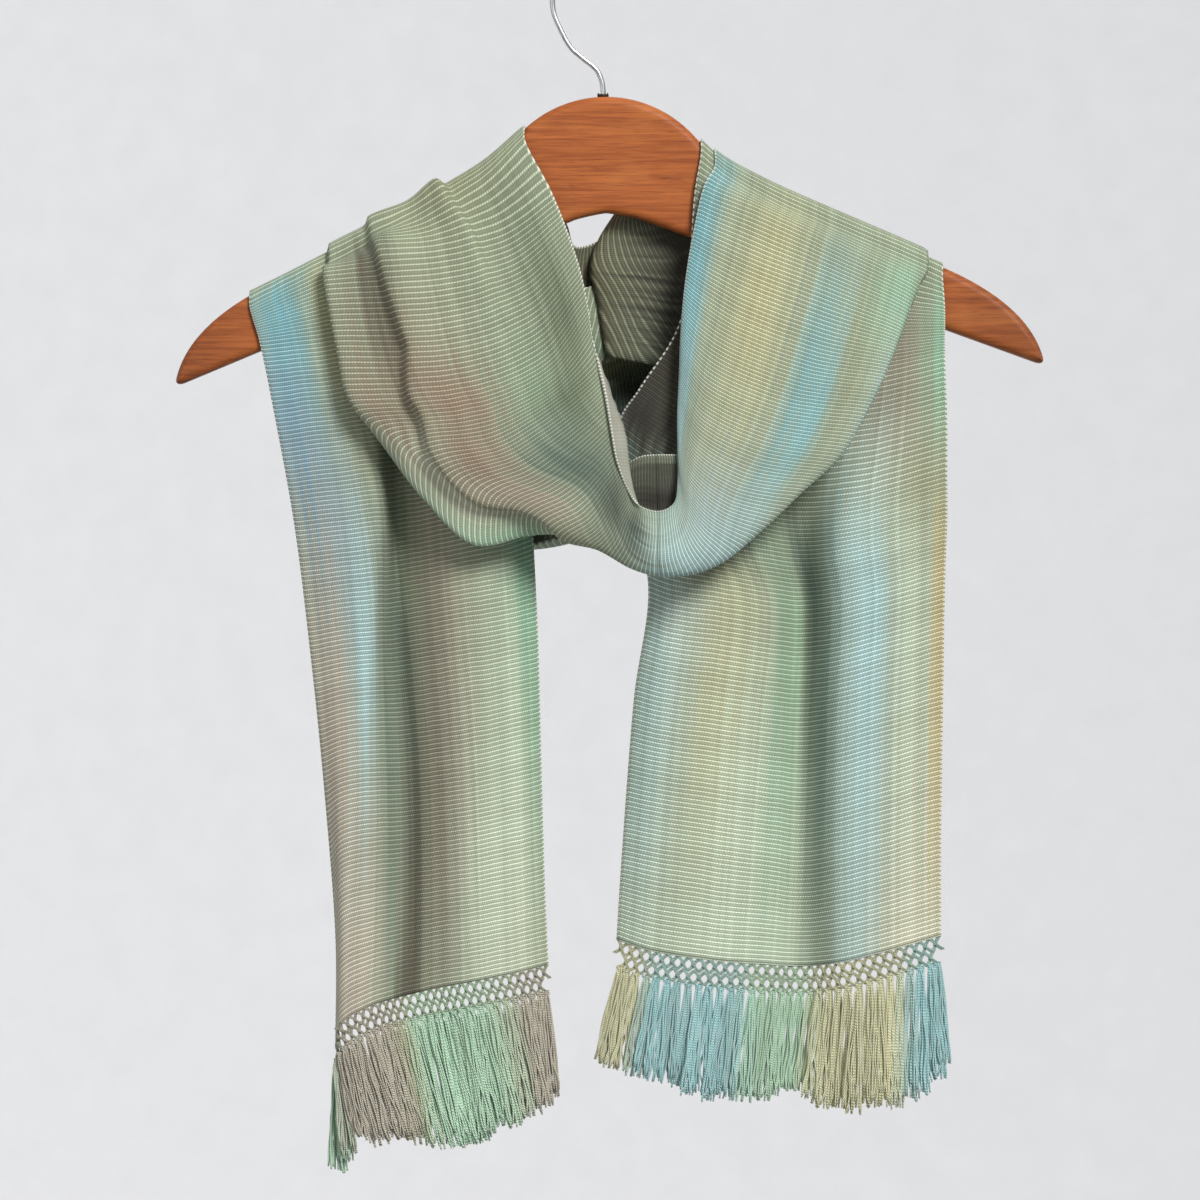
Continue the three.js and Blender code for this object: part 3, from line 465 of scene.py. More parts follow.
# Soft patches of dye painted along the warp of each run: row, across, colour, reach in rows,
# half width and strength. Some of them are painted shade and painted lightening, marked where they
# stand.
PATCHES = {
    "left tail": (
        (6.4, 0.88, "aqua", 1.6, 0.13, 1),
        (4.9, 0.93, "blue", 1.1, 0.12, 0.8),
        (5.8, 0.7, "straw", 1.6, 0.07, 0.7),
        (3.8, 0.85, "lilac", 1, 0.14, 0.7),
        (2.2, 0.95, "pale taupe", 1.6, 0.12, 0.9),
        (2.8, 0.8, "pale aqua", 1.4, 0.06, 0.9),
        (2.8, 0.38, "taupe", 2.6, 0.12, 0.8),
        (1.4, 0.44, "taupe", 1.6, 0.12, 0.6),
        (3.4, 0.04, "mint", 2.4, 0.09, 1),
        (2, 0.15, "pale sage", 1.6, 0.06, 0.6),
        (0.2, 0.84, "pale taupe", 1.6, 0.14, 0.9),
        (0.3, 0.18, "cream", 1.2, 0.16, 0.6),
        (0.8, 0.22, "pale sage", 1.7, 0.16, 0.7),
        # Painted shade down the valley of the tail's fold. The two shade patches are painted shade;
        # the two spruce patches are partly dye and partly painted shade.
        (1.2, 0.57, "shade", 3.2, 0.06, 1),
        (-0.2, 0.58, "shade", 1, 0.07, 1),
        (3.4, 0.58, "spruce", 1.6, 0.06, 0.8),
        (2, 0.68, "spruce", 2.6, 0.06, 0.65),
        (4, 0.56, "sage", 0.6, 0.1, 0.8),
    ),
    "lower back": (
        (1, 0.9, "aqua", 2, 0.1, 0.8),
        (2.6, 0.72, "straw", 2.4, 0.09, 0.7),
        (3.2, 0.1, "mint", 2.6, 0.09, 0.8),
        (3.4, 0.4, "taupe", 2.4, 0.12, 0.8),
        (5.6, 0.28, "pale sage", 2, 0.1, 0.7),
        (6, 0.58, "olive", 2.2, 0.12, 0.6),
        (6.4, 0.05, "aqua", 1.8, 0.08, 0.8),
    ),
    "left cowl": (
        (9.6, 0.45, "sage", 1.6, 0.5, 0.8),
        (11, 0.3, "olive", 2.2, 0.25, 0.5),
        (6.7, 0.49, "brown", 1.7, 0.14, 1),
        (4.6, 0.5, "brown", 1.5, 0.12, 1),
        (3.2, 0.52, "taupe", 1.2, 0.09, 0.9),
        (7.2, 0.11, "pine", 2.4, 0.1, 1),
        (4.8, 0.17, "pine", 1.6, 0.1, 1),
        (6.2, 0.27, "fern", 1.6, 0.08, 0.6),
        (3.4, 0.29, "spruce", 1.6, 0.12, 1),
        (1.6, 0.24, "deep teal", 1.4, 0.15, 0.85),
        (0.3, 0.18, "deep teal", 0.7, 0.13, 0.8),
        # Painted shade in the valley behind the lap. The shade patch is painted shade; the brown
        # patch is partly the brown dye and partly painted shade.
        (7.6, 0.61, "brown", 1.4, 0.1, 0.8),
        (8.9, 0.64, "shade", 1.8, 0.06, 1),
        (9.4, 0.55, "pine", 1, 0.05, 0.5),
        (6.4, 0.74, "brown", 1.6, 0.08, 0.9),
        # Painted lightening: the cream patch lightens the lap's crease where its shade falls.
        (4.5, 0.67, "cream", 1.3, 0.055, 0.8),
        (3.4, 0.78, "pale sage", 2, 0.05, 0.9),
        (3.4, 0.83, "mint", 2, 0.045, 1),
        (3, 0.74, "mint", 1.2, 0.04, 0.8),
    ),
    "upper back": (
        (0.8, 0.2, "olive", 1.6, 0.12, 0.6),
        (1.4, 0.48, "brown", 1.8, 0.12, 0.6),
        (2.6, 0.66, "fern", 2.2, 0.07, 0.7),
        (6.6, 0.24, "olive", 1.6, 0.16, 0.7),
        (6.8, 0.62, "mint", 1.4, 0.14, 0.7),
        (7, 0.9, "aqua", 1.2, 0.08, 0.7),
    ),
    "cowl foot": (
        (-0.5, 0.34, "pale aqua", 1.3, 0.34, 0.75),
    ),
    "right cowl": (
        (2, 0.02, "aqua", 5, 0.07, 1),
        # Painted lightening against the shade where the neck selvage rolls inwards.
        (4.8, 0.02, "pale aqua", 2.4, 0.06, 0.8),
        (2.5, 0.13, "sage", 3.5, 0.05, 0.5),
        (1.5, 0.26, "straw", 3, 0.1, 0.8),
        (3.2, 0.46, "aqua", 2.8, 0.07, 0.8),
        (1.8, 0.56, "olive", 2.6, 0.05, 0.5),
        (0.4, 0.66, "mint", 1.6, 0.09, 0.8),
        (4.6, 0.68, "pale aqua", 2.6, 0.06, 0.8),
        (6.5, 0.3, "lilac", 2, 0.2, 0.5),
        # Painted lightening against the shade near the hem.
        (7.2, 0.4, "pale aqua", 1.8, 0.22, 0.6),
    ),
    "right tail": (
        (1.4, 0.84, "taupe", 2, 0.14, 0.8),
        (2.9, 0.78, "pale sage", 1.4, 0.1, 0.6),
        (0.8, 1, "mint", 1.6, 0.06, 1),
        (3.4, 0.92, "olive", 1.2, 0.05, 0.5),
        (5.8, 0.99, "gold", 2.4, 0.04, 0.8),
        # Painted lightening where the cowl's shadow falls on the tail.
        (5, 0.08, "pale aqua", 1.3, 0.13, 1),
        (5, 0.1, "cream", 0.7, 0.1, 0.5),
        (6.6, 0.05, "pale aqua", 1.6, 0.12, 0.6),
        (5.7, 0.24, "straw", 2, 0.12, 0.8),
        (6.8, 0.34, "pale sage", 1.8, 0.1, 0.7),
        (6.2, 0.45, "mint", 2.4, 0.06, 0.8),
        # The dark stripe down the tail's valley is partly teal and pine dye and partly painted
        # shade. The shade patch is painted shade.
        (4.5, 0.555, "spruce", 1.9, 0.05, 0.95),
        (4.2, 0.66, "teal", 1.6, 0.045, 0.55),
        (6.4, 0.61, "teal", 1.8, 0.055, 0.95),
        (8.3, 0.655, "pine", 1.6, 0.055, 0.95),
        (8.8, 0.66, "shade", 0.8, 0.06, 0.8),
        (5.2, 0.75, "pale aqua", 2.8, 0.08, 1),
        (5.6, 0.88, "pale sage", 2.6, 0.07, 0.7),
        (8.4, 0.3, "pale sage", 2.2, 0.34, 0.95),
        (8, 0.76, "pale aqua", 1.8, 0.07, 0.6),
        (8.4, 0.92, "cream", 1.8, 0.14, 1),
        # Painted shade: the tail's top beside the neck lies in the cowl's shadow.
        (1.4, 0.03, "peat", 1.4, 0.34, 1),
        (2.5, 0.06, "black", 1.5, 0.32, 1),
        (3.7, 0.1, "teal", 0.5, 0.3, 0.7),
    ),
}
# More of them for the side of the cloth that faces the neck and the hanger. The grey band at the
# left cowl's neck selvage is a tone of that side; the rest are painted shade, dark patches where
# that side lies in shadow behind the cowl and inside the U.
INSIDE_TONES_AND_SHADE = {
    "left cowl": (
        (4, 0, "grey", 5, 0.1, 1),
    ),
    # Painted shade on the curl of the upper back, seen through the cowl's opening.
    "upper back": (
        (3.6, 0.4, "olive shade", 1.8, 0.9, 0.9),
        (5.9, 0.4, "black", 1.3, 0.9, 1),
        (1.6, 0.4, "moss", 1.6, 0.9, 1),
    ),
    # Painted shade on the lower back, behind the cowl.
    "lower back": (
        (4, 0.3, "deep teal", 2, 0.9, 1),
        (3.6, 0.02, "olive", 1.8, 0.1, 0.9),
    ),
    # Painted shade on the cowl foot's inner flap, down inside the U.
    "cowl foot": (
        (0, 0.8, "black", 4, 0.17, 1),
        (0, 0.95, "black", 4, 0.1, 0.8),
    ),
}
# Where the reverse's ribs are worn smooth, in the same columns without the colour.
SMOOTH = (("left cowl", 3.5, 0.0, 5.5, 0.09, 0.85),)
# The ribs' spacing in mm, and how many ribs they slant by between the selvages: run, row, both.
RIBS = (
    ("left tail", 0, 2.35, 0), ("left tail", 6, 2.35, 0), ("lower back", 4, 2.5, 0),
    ("right cowl", 0, 1.95, 0), ("cowl foot", 0, 1.75, 0), ("left cowl", 2, 2.1, 0),
    ("left cowl", 5, 2.6, 0), ("left cowl", 9, 2.7, 0), ("upper back", 0, 2.7, 0),
    ("upper back", 3.5, 3.0, -5), ("upper back", 5, 3.0, -12), ("upper back", 6, 2.7, -24),
    ("upper back", 7, 2.7, 0), ("right tail", 0, 3.0, 0), ("right tail", 4, 2.45, 0),
    ("right tail", 8, 2.3, 0),
)


def rib_count(stations, lengths, across):
    """The number of ribs from the start of the cloth to each of its places."""
    rows = [FIRST_ROW[run] + row for run, row, _, _ in RIBS]
    pitch = np.interp(stations, rows, [p for _, _, p, _ in RIBS])
    slant = np.interp(stations, rows, [s for _, _, _, s in RIBS])
    along = running(np.diff(lengths) / pitch[1:])
    return along[:, None] + slant[:, None] * across[None, :]


def patch_share(s, u, run, row, at, long, wide, strength):
    """How much of a soft round patch lies at each place."""
    ds = (s - FIRST_ROW[run] - row) / long
    du = (u - at) / wide
    return strength * np.exp(-(ds**2) * 1.2 - (du**2) * 1.1)


# How far single warp threads carry a dye across and along, how the dyes sway, and their tones.
BLEED = dict(across=0.011, along=0.22, sway=0.018, sway_rate=0.8, tones=(0.93, 1.07), seed=8)


def dye_and_shade_field(stations, across, ground, reverse=False):
    """The dye, with painted shade and painted lightening laid on it, at each place of one side of
    the cloth as linear rgb, and how plain its ribs are.
    """
    rng = np.random.default_rng(BLEED["seed"])
    n = len(across)
    u = across[None, :] + rng.normal(0, BLEED["across"], n)[None, :]
    u = u + BLEED["sway"] * np.sin(stations * BLEED["sway_rate"])[:, None]
    s = stations[:, None] + rng.normal(0, BLEED["along"], n)[None, :]
    field = np.tile(np.array(tuple(ground) + (1.0,)), (len(stations), n, 1))
    for table in (PATCHES, INSIDE_TONES_AND_SHADE) if reverse else (PATCHES,):
        for run, patches in table.items():
            for row, at, name, long, wide, strength in patches:
                share = patch_share(s, u, run, row, at, long, wide, strength)
                field[:, :, :3] += (np.array(DYES_AND_SHADES[name]) - field[:, :, :3]) * share[:, :, None]
    if reverse:
        for smooth in SMOOTH:
            field[:, :, 3] -= patch_share(s, u, *smooth)
    field[:, :, :3] *= rng.uniform(*BLEED["tones"], n)[None, :, None]
    return field


# ---------------------------------------------------------------- meshes


def add_object(name, data):
    obj = bpy.data.objects.new(name, data)
    bpy.context.scene.collection.objects.link(obj)
    return obj


def plain_mesh(name, verts, faces):
    mesh = bpy.data.meshes.new(name)
    mesh.from_pydata(verts, [], faces)
    mesh.polygons.foreach_set("use_smooth", [True] * len(mesh.polygons))
    return mesh


def new_mesh(name, verts, faces, uvs, colours, flat_faces):
    """A mesh in metres, with a UV and a colour of dye and painted shade for each vertex. Its last
    faces are flat.
    """
    mesh = bpy.data.meshes.new(name)
    mesh.vertices.add(len(verts))
    mesh.vertices.foreach_set("co", verts.ravel())
    mesh.loops.add(faces.size)
    mesh.loops.foreach_set("vertex_index", faces.ravel())
    mesh.polygons.add(len(faces))
    mesh.polygons.foreach_set("loop_start", np.arange(0, faces.size, faces.shape[1]))
    mesh.update(calc_edges=True)
    layer = mesh.uv_layers.new(name="weave")
    layer.data.foreach_set("uv", uvs[faces.ravel()].ravel())
    layer = mesh.color_attributes.new("dye", "FLOAT_COLOR", "POINT")
    layer.data.foreach_set("color", colours.ravel())
    mesh.polygons.foreach_set("use_smooth", np.arange(len(faces)) < len(faces) - flat_faces)
    mesh.validate()
    return mesh


def shell(grid, normals, thick, uv, outside, inside):
    """A closed wall round a grid of middle points: vertices, quads, uvs, colours and rim count."""
    rows, cols = grid.shape[:2]
    half = normals * thick / 2
    verts = np.concatenate([(grid + half).reshape(-1, 3), (grid - half).reshape(-1, 3)])
    n = rows * cols
    ids = np.arange(n).reshape(rows, cols)

    def rim(line):
        p, q = line[:-1], line[1:]
        return np.stack([p, q, q + n, p + n], axis=-1)

    edges = np.concatenate([rim(ids[0]), rim(ids[:, -1]), rim(ids[-1, ::-1]), rim(ids[::-1, 0])])
    faces = np.concatenate([quads(ids, flip=True), quads(ids) + n, edges])
    uvs = np.concatenate([uv.reshape(-1, 2)] * 2)
    return verts, faces, uvs, np.concatenate([outside, inside]).reshape(-1, 4), len(edges)


# ---------------------------------------------------------------- materials

class Shade:
    """A material's node tree, built up by short calls."""

    def __init__(self, name):
        self.material = bpy.data.materials.new(name)
        self.material.use_nodes = True
        self.tree = self.material.node_tree
        self.tree.nodes.clear()

    def node(self, kind, **settings):
        n = self.tree.nodes.new(kind)
        for key, value in settings.items():
            setattr(n, key, value)
        return n

    def put(self, socket, value):
        if isinstance(value, bpy.types.NodeSocket):
            self.tree.links.new(value, socket)
        elif value is not None:
            socket.default_value = value

    def math(self, operation, a, b=None, clamp=False):
        n = self.node("ShaderNodeMath", operation=operation, use_clamp=clamp)
        self.put(n.inputs[0], a)
        self.put(n.inputs[1], b)
        return n.outputs[0]

    def times(self, a, b):
        return self.math("MULTIPLY", a, b)

    def plus(self, a, b):
        return self.math("ADD", a, b)

    def ramp(self, value, low, high, to_low=0.0, to_high=1.0):
        n = self.node("ShaderNodeMapRange", interpolation_type="SMOOTHSTEP")
        for socket, v in zip(n.inputs, (value, low, high, to_low, to_high)):
            self.put(socket, v)
        return n.outputs[0]

    def mix(self, share, a, b, blend="MIX"):
        n = self.node("ShaderNodeMix", data_type="RGBA", blend_type=blend)
        self.put(n.inputs["Factor"], share)
        self.put(n.inputs[6], a)
        self.put(n.inputs[7], b)
        return n.outputs[2]

    def tinted(self, colour, r, g, b):
        return self.mix(1.0, colour, (r, g, b, 1), "MULTIPLY")

    def noise(self, vector, scale, detail=2.0, roughness=0.5, distortion=0.0):
        n = self.node("ShaderNodeTexNoise")
        self.put(n.inputs["Vector"], vector)
        keys = ("Scale", "Detail", "Roughness", "Distortion")
        for key, v in zip(keys, (scale, detail, roughness, distortion)):
            self.put(n.inputs[key], v)
        return n.outputs["Fac"]

    def place(self):
        return self.node("ShaderNodeTexCoord").outputs["Object"]

    def parts(self, vector):
        """The x and y of a vector."""
        n = self.node("ShaderNodeSeparateXYZ")
        self.put(n.inputs[0], vector)
        return n.outputs[0], n.outputs[1]

    def scaled(self, vector, x, y, z):
        n = self.node("ShaderNodeVectorMath", operation="MULTIPLY")
        self.put(n.inputs[0], vector)
        n.inputs[1].default_value = (x, y, z)
        return n.outputs[0]

    def bump(self, height, strength, distance):
        n = self.node("ShaderNodeBump")
        self.put(n.inputs["Height"], height)
        n.inputs["Strength"].default_value = strength
        n.inputs["Distance"].default_value = distance
        return n.outputs["Normal"]

    def finish(self, colour, normal=None, **constants):
        shader = self.node("ShaderNodeBsdfPrincipled")
        self.put(shader.inputs["Base Color"], colour)
        self.put(shader.inputs["Normal"], normal)
        for key, value in constants.items():
            shader.inputs[key.replace("_", " ")].default_value = value
        out = self.node("ShaderNodeOutputMaterial")
        self.tree.links.new(shader.outputs[0], out.inputs[0])
        return self.material


def wave(s, value, centre, half):
    """1 at the centre of each unit step of value, falling smoothly to 0 at half away."""
    fraction = s.math("FRACT", value)
    away = s.math("ABSOLUTE", s.math("SUBTRACT", fraction, centre))
    return s.ramp(away, 0.0, half, 1.0, 0.0)


# The spacing in mm of the warp threads in the weave and of the turns in a strand of yarn.
THREAD_PITCH = 1.5
TWIST = 3.2
UNDYED = (0.84, 0.86, 0.78, 1)
SELVAGE = (0.82, 0.82, 0.72, 1)


def weave_material(name, width, rib_depth):
    """Crosswise ribs on lengthwise dyes. The UV map holds metres across and ribs / 1000 along."""
    s = Shade(name)
    uv = s.node("ShaderNodeUVMap", uv_map="weave").outputs[0]
    over, along = s.parts(uv)
    across = s.times(over, 1000.0)
    count = s.times(along, 1000.0)
    # The dye attribute holds the cloth's dyes together with its painted shade and painted
    # lightening; its alpha is how plain the ribs are.
    paint = s.node("ShaderNodeVertexColor", layer_name="dye")
    dye, relief = paint.outputs[0], paint.outputs[1]
    uneven = s.noise(s.scaled(uv, 30, 12, 0), 1.0, 2.0)
    ribs = s.plus(count, s.times(uneven, 0.8))
    threads = s.plus(s.math("DIVIDE", across, THREAD_PITCH), s.times(ribs, 0.5))
    dash = wave(s, threads, 0.5, 0.5)
    bold = s.plus(0.30, s.times(dash, 0.70))
    line = s.times(wave(s, ribs, 0.30, 0.22), bold)
    faint = s.plus(0.25, s.times(dash, 0.25))
    low = s.times(wave(s, ribs, 0.80, 0.22), faint)
    height = s.math("MAXIMUM", line, low)
    streak = s.noise(s.scaled(uv, 620, 7, 0), 1.0, 3.0, 0.6)
    dye = s.mix(s.ramp(streak, 0.3, 0.7, 0.0, 0.30), dye, s.tinted(dye, 0.62, 0.60, 0.52))
    band = s.noise(s.scaled(uv, 6, 170, 0), 1.0, 2.0)
    dye = s.mix(s.ramp(band, 0.35, 0.65, 0.0, 0.22), dye, s.tinted(dye, 0.62, 0.60, 0.55))
    ground = s.mix(0.18, s.tinted(dye, 0.86, 0.86, 0.84), (0.20, 0.18, 0.15, 1))
    pits = s.times(s.math("SUBTRACT", 1.0, height), s.times(relief, 0.50))
    ground = s.mix(pits, ground, s.tinted(dye, 0.36, 0.34, 0.29))
    bright = s.node("ShaderNodeRGBToBW")
    s.put(bright.inputs[0], dye)
    undyed = s.ramp(bright.outputs[0], 0.02, 0.30, 0.03, 0.17)
    pale = s.mix(undyed, s.tinted(dye, 1.75, 1.70, 1.70), UNDYED)
    colour = s.mix(s.math("MULTIPLY", line, relief, clamp=True), ground, pale)
    edge = s.math("MINIMUM", across, s.math("SUBTRACT", width / MM, across))
    stitch = s.times(s.ramp(edge, 0.5, 1.3, 0.95, 0.0), wave(s, ribs, 0.5, 0.46))
    colour = s.mix(stitch, colour, SELVAGE)
    normal = s.bump(s.times(height, relief), 0.5, rib_depth)
    gloss = dict(Roughness=0.75, Sheen_Weight=0.12, Sheen_Roughness=0.4, Specular_IOR_Level=0.25)
    return s.finish(colour, normal, **gloss)


def yarn_material(name, tint=(1, 1, 1, 1)):
    """Twisted yarn. The UV map runs round the thread and, in metres, along it."""
    s = Shade(name)
    around, along = s.parts(s.node("ShaderNodeUVMap", uv_map="weave").outputs[0])
    turn = s.plus(around, s.times(along, 1000.0 / TWIST))
    ply = wave(s, s.times(turn, 2.0), 0.5, 0.5)
    dye = s.node("ShaderNodeVertexColor", layer_name="dye").outputs[0]
    dye = s.mix(1.0, dye, tint, "MULTIPLY")
    speck = s.noise(s.place(), 900.0, 2.0)
    pale = s.mix(s.ramp(speck, 0.3, 0.7, 0.25, 0.6), dye, (0.86, 0.9, 0.74, 1))
    dark = s.tinted(dye, 0.5, 0.48, 0.42)
    colour = s.mix(ply, dark, pale)
    normal = s.bump(ply, 0.6, 0.0004)
    return s.finish(colour, normal, Roughness=0.6, Sheen_Weight=0.3, Specular_IOR_Level=0.35)


def wood_material(dark, light):
    s = Shade("varnished hardwood")
    at = s.place()
    # Painted shade: the wood darkens towards both tips of the board.
    shaded_tips = s.ramp(s.math("ABSOLUTE", s.parts(at)[0]), 0.15, 0.22, 0.0, 0.5)
    grain = s.noise(s.scaled(at, 6, 60, 150), 4.0, 6.0, 0.65, 0.5)
    pores = s.noise(s.scaled(at, 40, 600, 700), 2.0, 3.0, 0.6)
    flecks = s.noise(s.scaled(at, 12, 12, 30), 2.0, 3.0)
    colour = s.mix(s.ramp(grain, 0.30, 0.72), (*dark, 1), (*light, 1))
    colour = s.mix(s.ramp(flecks, 0.5, 0.72, 0.0, 0.45), colour, (0.56, 0.19, 0.05, 1))
    colour = s.mix(s.ramp(pores, 0.58, 0.72, 0.0, 0.55), colour, (0.12, 0.035, 0.014, 1))
    # Painted shade laid on the tips.
    colour = s.mix(shaded_tips, colour, s.tinted(colour, 0.40, 0.42, 0.5))
    return s.finish(colour, s.bump(pores, 0.12, 0.0004), Roughness=0.5, Specular_IOR_Level=0.22)


def steel_material():
    s = Shade("bright wire")
    streak = s.noise(s.scaled(s.place(), 900, 900, 60), 1.0, 3.0)
    colour = s.mix(s.ramp(streak, 0.3, 0.7), (0.50, 0.51, 0.52, 1), (0.72, 0.72, 0.72, 1))
    return s.finish(colour, s.bump(streak, 0.08, 0.0002), Metallic=1.0, Roughness=0.3)


def dark_metal_material():
    s = Shade("dark metal")
    speck = s.noise(s.place(), 1400.0, 3.0)
    colour = s.mix(speck, (0.012, 0.010, 0.009, 1), (0.07, 0.05, 0.035, 1))
    return s.finish(colour, s.bump(speck, 0.2, 0.0003), Metallic=0.7, Roughness=0.55)


def backdrop_material(colour):
    s = Shade("pale plaster")
    speck = s.noise(s.place(), 18.0, 4.0)
    mottled = s.mix(speck, (*colour, 1), s.tinted((*colour, 1), 1.09, 1.09, 1.09))
    return s.finish(mottled, None, Roughness=0.95)


# ---------------------------------------------------------------- the hanger


def board_outline(inset):
    """The level board's outline, drawn in by inset, in mm below and beside its crown."""
    b = BOARD
    half = [(x, -crown_drop(x)) for x in np.linspace(0, b["end_x"], 60)]

    def bend(p, q, r, n):
        t = np.linspace(0, 1, n + 1)[1:, None]
        p, q, r = (np.array(v, float) for v in (p, q, r))
        return [tuple(v) for v in (1 - t) ** 2 * p + 2 * t * (1 - t) * q + t**2 * r]

    half += bend(half[-1], (b["elbow_x"], -b["elbow_drop"]), (b["tip_x"], -b["tip_drop"]), 24)
    tip = (b["tip_x"] + 0.9, -b["tip_drop"] - 4)
    half += bend(half[-1], tip, (b["foot_x"], -b["foot_drop"]), 6)
    under = -b["apex_drop"] - b["under_slope"] * b["apex_half"]
    t = np.linspace(0, 1, 41)[1:, None]
    start, end = np.array(half[-1]), np.array((b["apex_half"], under))
    half += [tuple(v) for v in start + (end - start) * t]
    crest = (under - b["apex_drop"]) / 2
    half += bend(half[-1], (b["apex_half"] / 2, crest - 1), (0, crest), 6)
    points = np.array(half + [(-x, z) for x, z in half[-2:0:-1]])
    tangent = np.roll(points, -1, axis=0) - np.roll(points, 1, axis=0)
    tangent /= np.linalg.norm(tangent, axis=1, keepdims=True)
    inward = np.stack([tangent[:, 1], -tangent[:, 0]], axis=1)
    room = b["half_span"] - np.abs(points[:, 0])
    reach = np.minimum(inset, 0.35 * room + 0.25 * inset)
    return points + inward * reach[:, None]


def build_board(settings):
    b = BOARD
    half = settings.board_thickness / MM / 2
    rings = [(board_outline(b["edge"] + b["face_inset"]), -half)]
    angles = np.linspace(0, math.pi / 2, 8)
    for side in (1, -1):
        for a in angles[::side]:
            inset = b["edge"] * (1 - math.sin(a))
            y = -side * (half - b["edge"] + b["edge"] * math.cos(a))
            rings.append((board_outline(inset), y))
    rings.append((rings[0][0], half))
    n = len(rings[0][0])
    hang = Matrix.Translation((0, 0, -b["drop"])) @ Matrix.Rotation(-b["roll"], 4, "Y")
    verts = [hang @ Vector((x, y, z)) * MM for outline, y in rings for x, z in outline]
    faces = quads(ring_ids(len(rings), n)).tolist()
    last = (len(rings) - 1) * n
    flat = tessellate_polygon([[Vector((x, z, 0)) for x, z in rings[0][0]]])
    faces += [tuple(tri) for tri in flat]
    faces += [tuple(last + i for i in tri[::-1]) for tri in flat]
    mesh = plain_mesh("hanger_board_wood", verts, faces)
    mesh.validate()
    face_outwards(mesh)
    wood = wood_material(settings.dark_grain, settings.light_grain)
    return link("hanger_board_wood", mesh, wood)


def face_outwards(mesh):
    work = bmesh.new()
    work.from_mesh(mesh)
    bmesh.ops.recalc_face_normals(work, faces=work.faces)
    work.to_mesh(mesh)
    work.free()


def hook_route():
    """The middle of the hook's wire, from inside the board up and round the bend."""
    h = HOOK
    stem = [(x, rise - BOARD["drop"]) for x, rise in HOOK_STEM]
    centre = h["wire"] - h["bend"]
    turns = np.radians(np.linspace(h["join_angle"], h["open_angle"], h["arc_points"]))
    ring = [(h["bend"] * math.cos(a), centre + h["bend"] * math.sin(a)) for a in turns]
    anchors = np.array([(x, 0, z) for x, z in stem + ring])
    return centripetal(anchors, np.linspace(0, len(anchors) - 1, h["path_points"]))


def tube(path, radii, sides):
    """Vertices, quads, end triangles and uvs of a tube. u runs round it and v along it."""
    path = np.asarray(path, float)
    tangent = np.gradient(path, axis=0)
    tangent /= np.linalg.norm(tangent, axis=1, keepdims=True)
    normal = np.empty_like(path)
    guess = np.array((0.0, 1.0, 0.0) if abs(tangent[0][1]) < 0.9 else (1.0, 0.0, 0.0))
    for i, t in enumerate(tangent):
        guess = guess - t * guess.dot(t)
        guess /= np.linalg.norm(guess)
        normal[i] = guess
    side = np.cross(tangent, normal)
    angle = np.linspace(0, 2 * math.pi, sides, endpoint=False)
    radii = np.broadcast_to(radii, len(path))
    ring = np.cos(angle)[None, :, None] * normal[:, None]
    ring = ring + np.sin(angle)[None, :, None] * side[:, None]
    verts = (path[:, None] + ring * radii[:, None, None]).reshape(-1, 3)
    reach = length_along(path)
    u = np.broadcast_to(angle / (2 * math.pi), (len(path), sides))
    v = np.broadcast_to(reach[:, None], (len(path), sides))
    ids = ring_ids(len(path), sides)
    n = len(verts)
    bulge = 0.35 * radii[[0, -1], None] * tangent[[0, -1]] * [[-1], [1]]
    verts = np.concatenate([verts, path[[0, -1]] + bulge])
    uvs = np.concatenate([np.stack([u, v], axis=-1).reshape(-1, 2), [(0.5, 0), (0.5, reach[-1])]])
    first = np.stack([ids[0, 1:], ids[0, :-1], np.full(sides, n)], axis=-1)
    final = np.stack([ids[-1, :-1], ids[-1, 1:], np.full(sides, n + 1)], axis=-1)
    return verts, quads(ids), np.concatenate([first, final]), uvs


class Bundle:
    """Many tubes gathered into one mesh."""

    def __init__(self):
        self.verts, self.walls, self.ends, self.uvs, self.count = [], [], [], [], 0

    def add(self, path, radii, sides):
        verts, walls, ends, uvs = tube(path, radii, sides)
        self.verts.append(verts)
        self.uvs.append(uvs)
        self.walls.append(walls + self.count)
        self.ends.append(ends + self.count)
        self.count += len(verts)

    def mesh(self, name):
        faces = np.concatenate(self.walls).tolist() + np.concatenate(self.ends).tolist()
        mesh = plain_mesh(name, np.concatenate(self.verts).tolist(), faces)
        loops = np.empty(len(mesh.loops), dtype=np.int32)
        mesh.loops.foreach_get("vertex_index", loops)
        layer = mesh.uv_layers.new(name="weave")
        layer.data.foreach_set("uv", np.concatenate(self.uvs)[loops].ravel())
        return mesh


def keep(obj, node):
    """Puts a finished piece in the frame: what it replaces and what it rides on."""
    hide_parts(node)
    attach(obj, "root")


def link(name, mesh, material):
    obj = add_object(name, mesh)
    mesh.materials.clear()
    mesh.materials.append(material)
    return obj


def build_hook(settings):
    wire = Bundle()
    wire.add(hook_route() * MM, settings.wire_radius, 20)
    return link("hanger_hook_wire", wire.mesh("hanger_hook_wire"), steel_material())


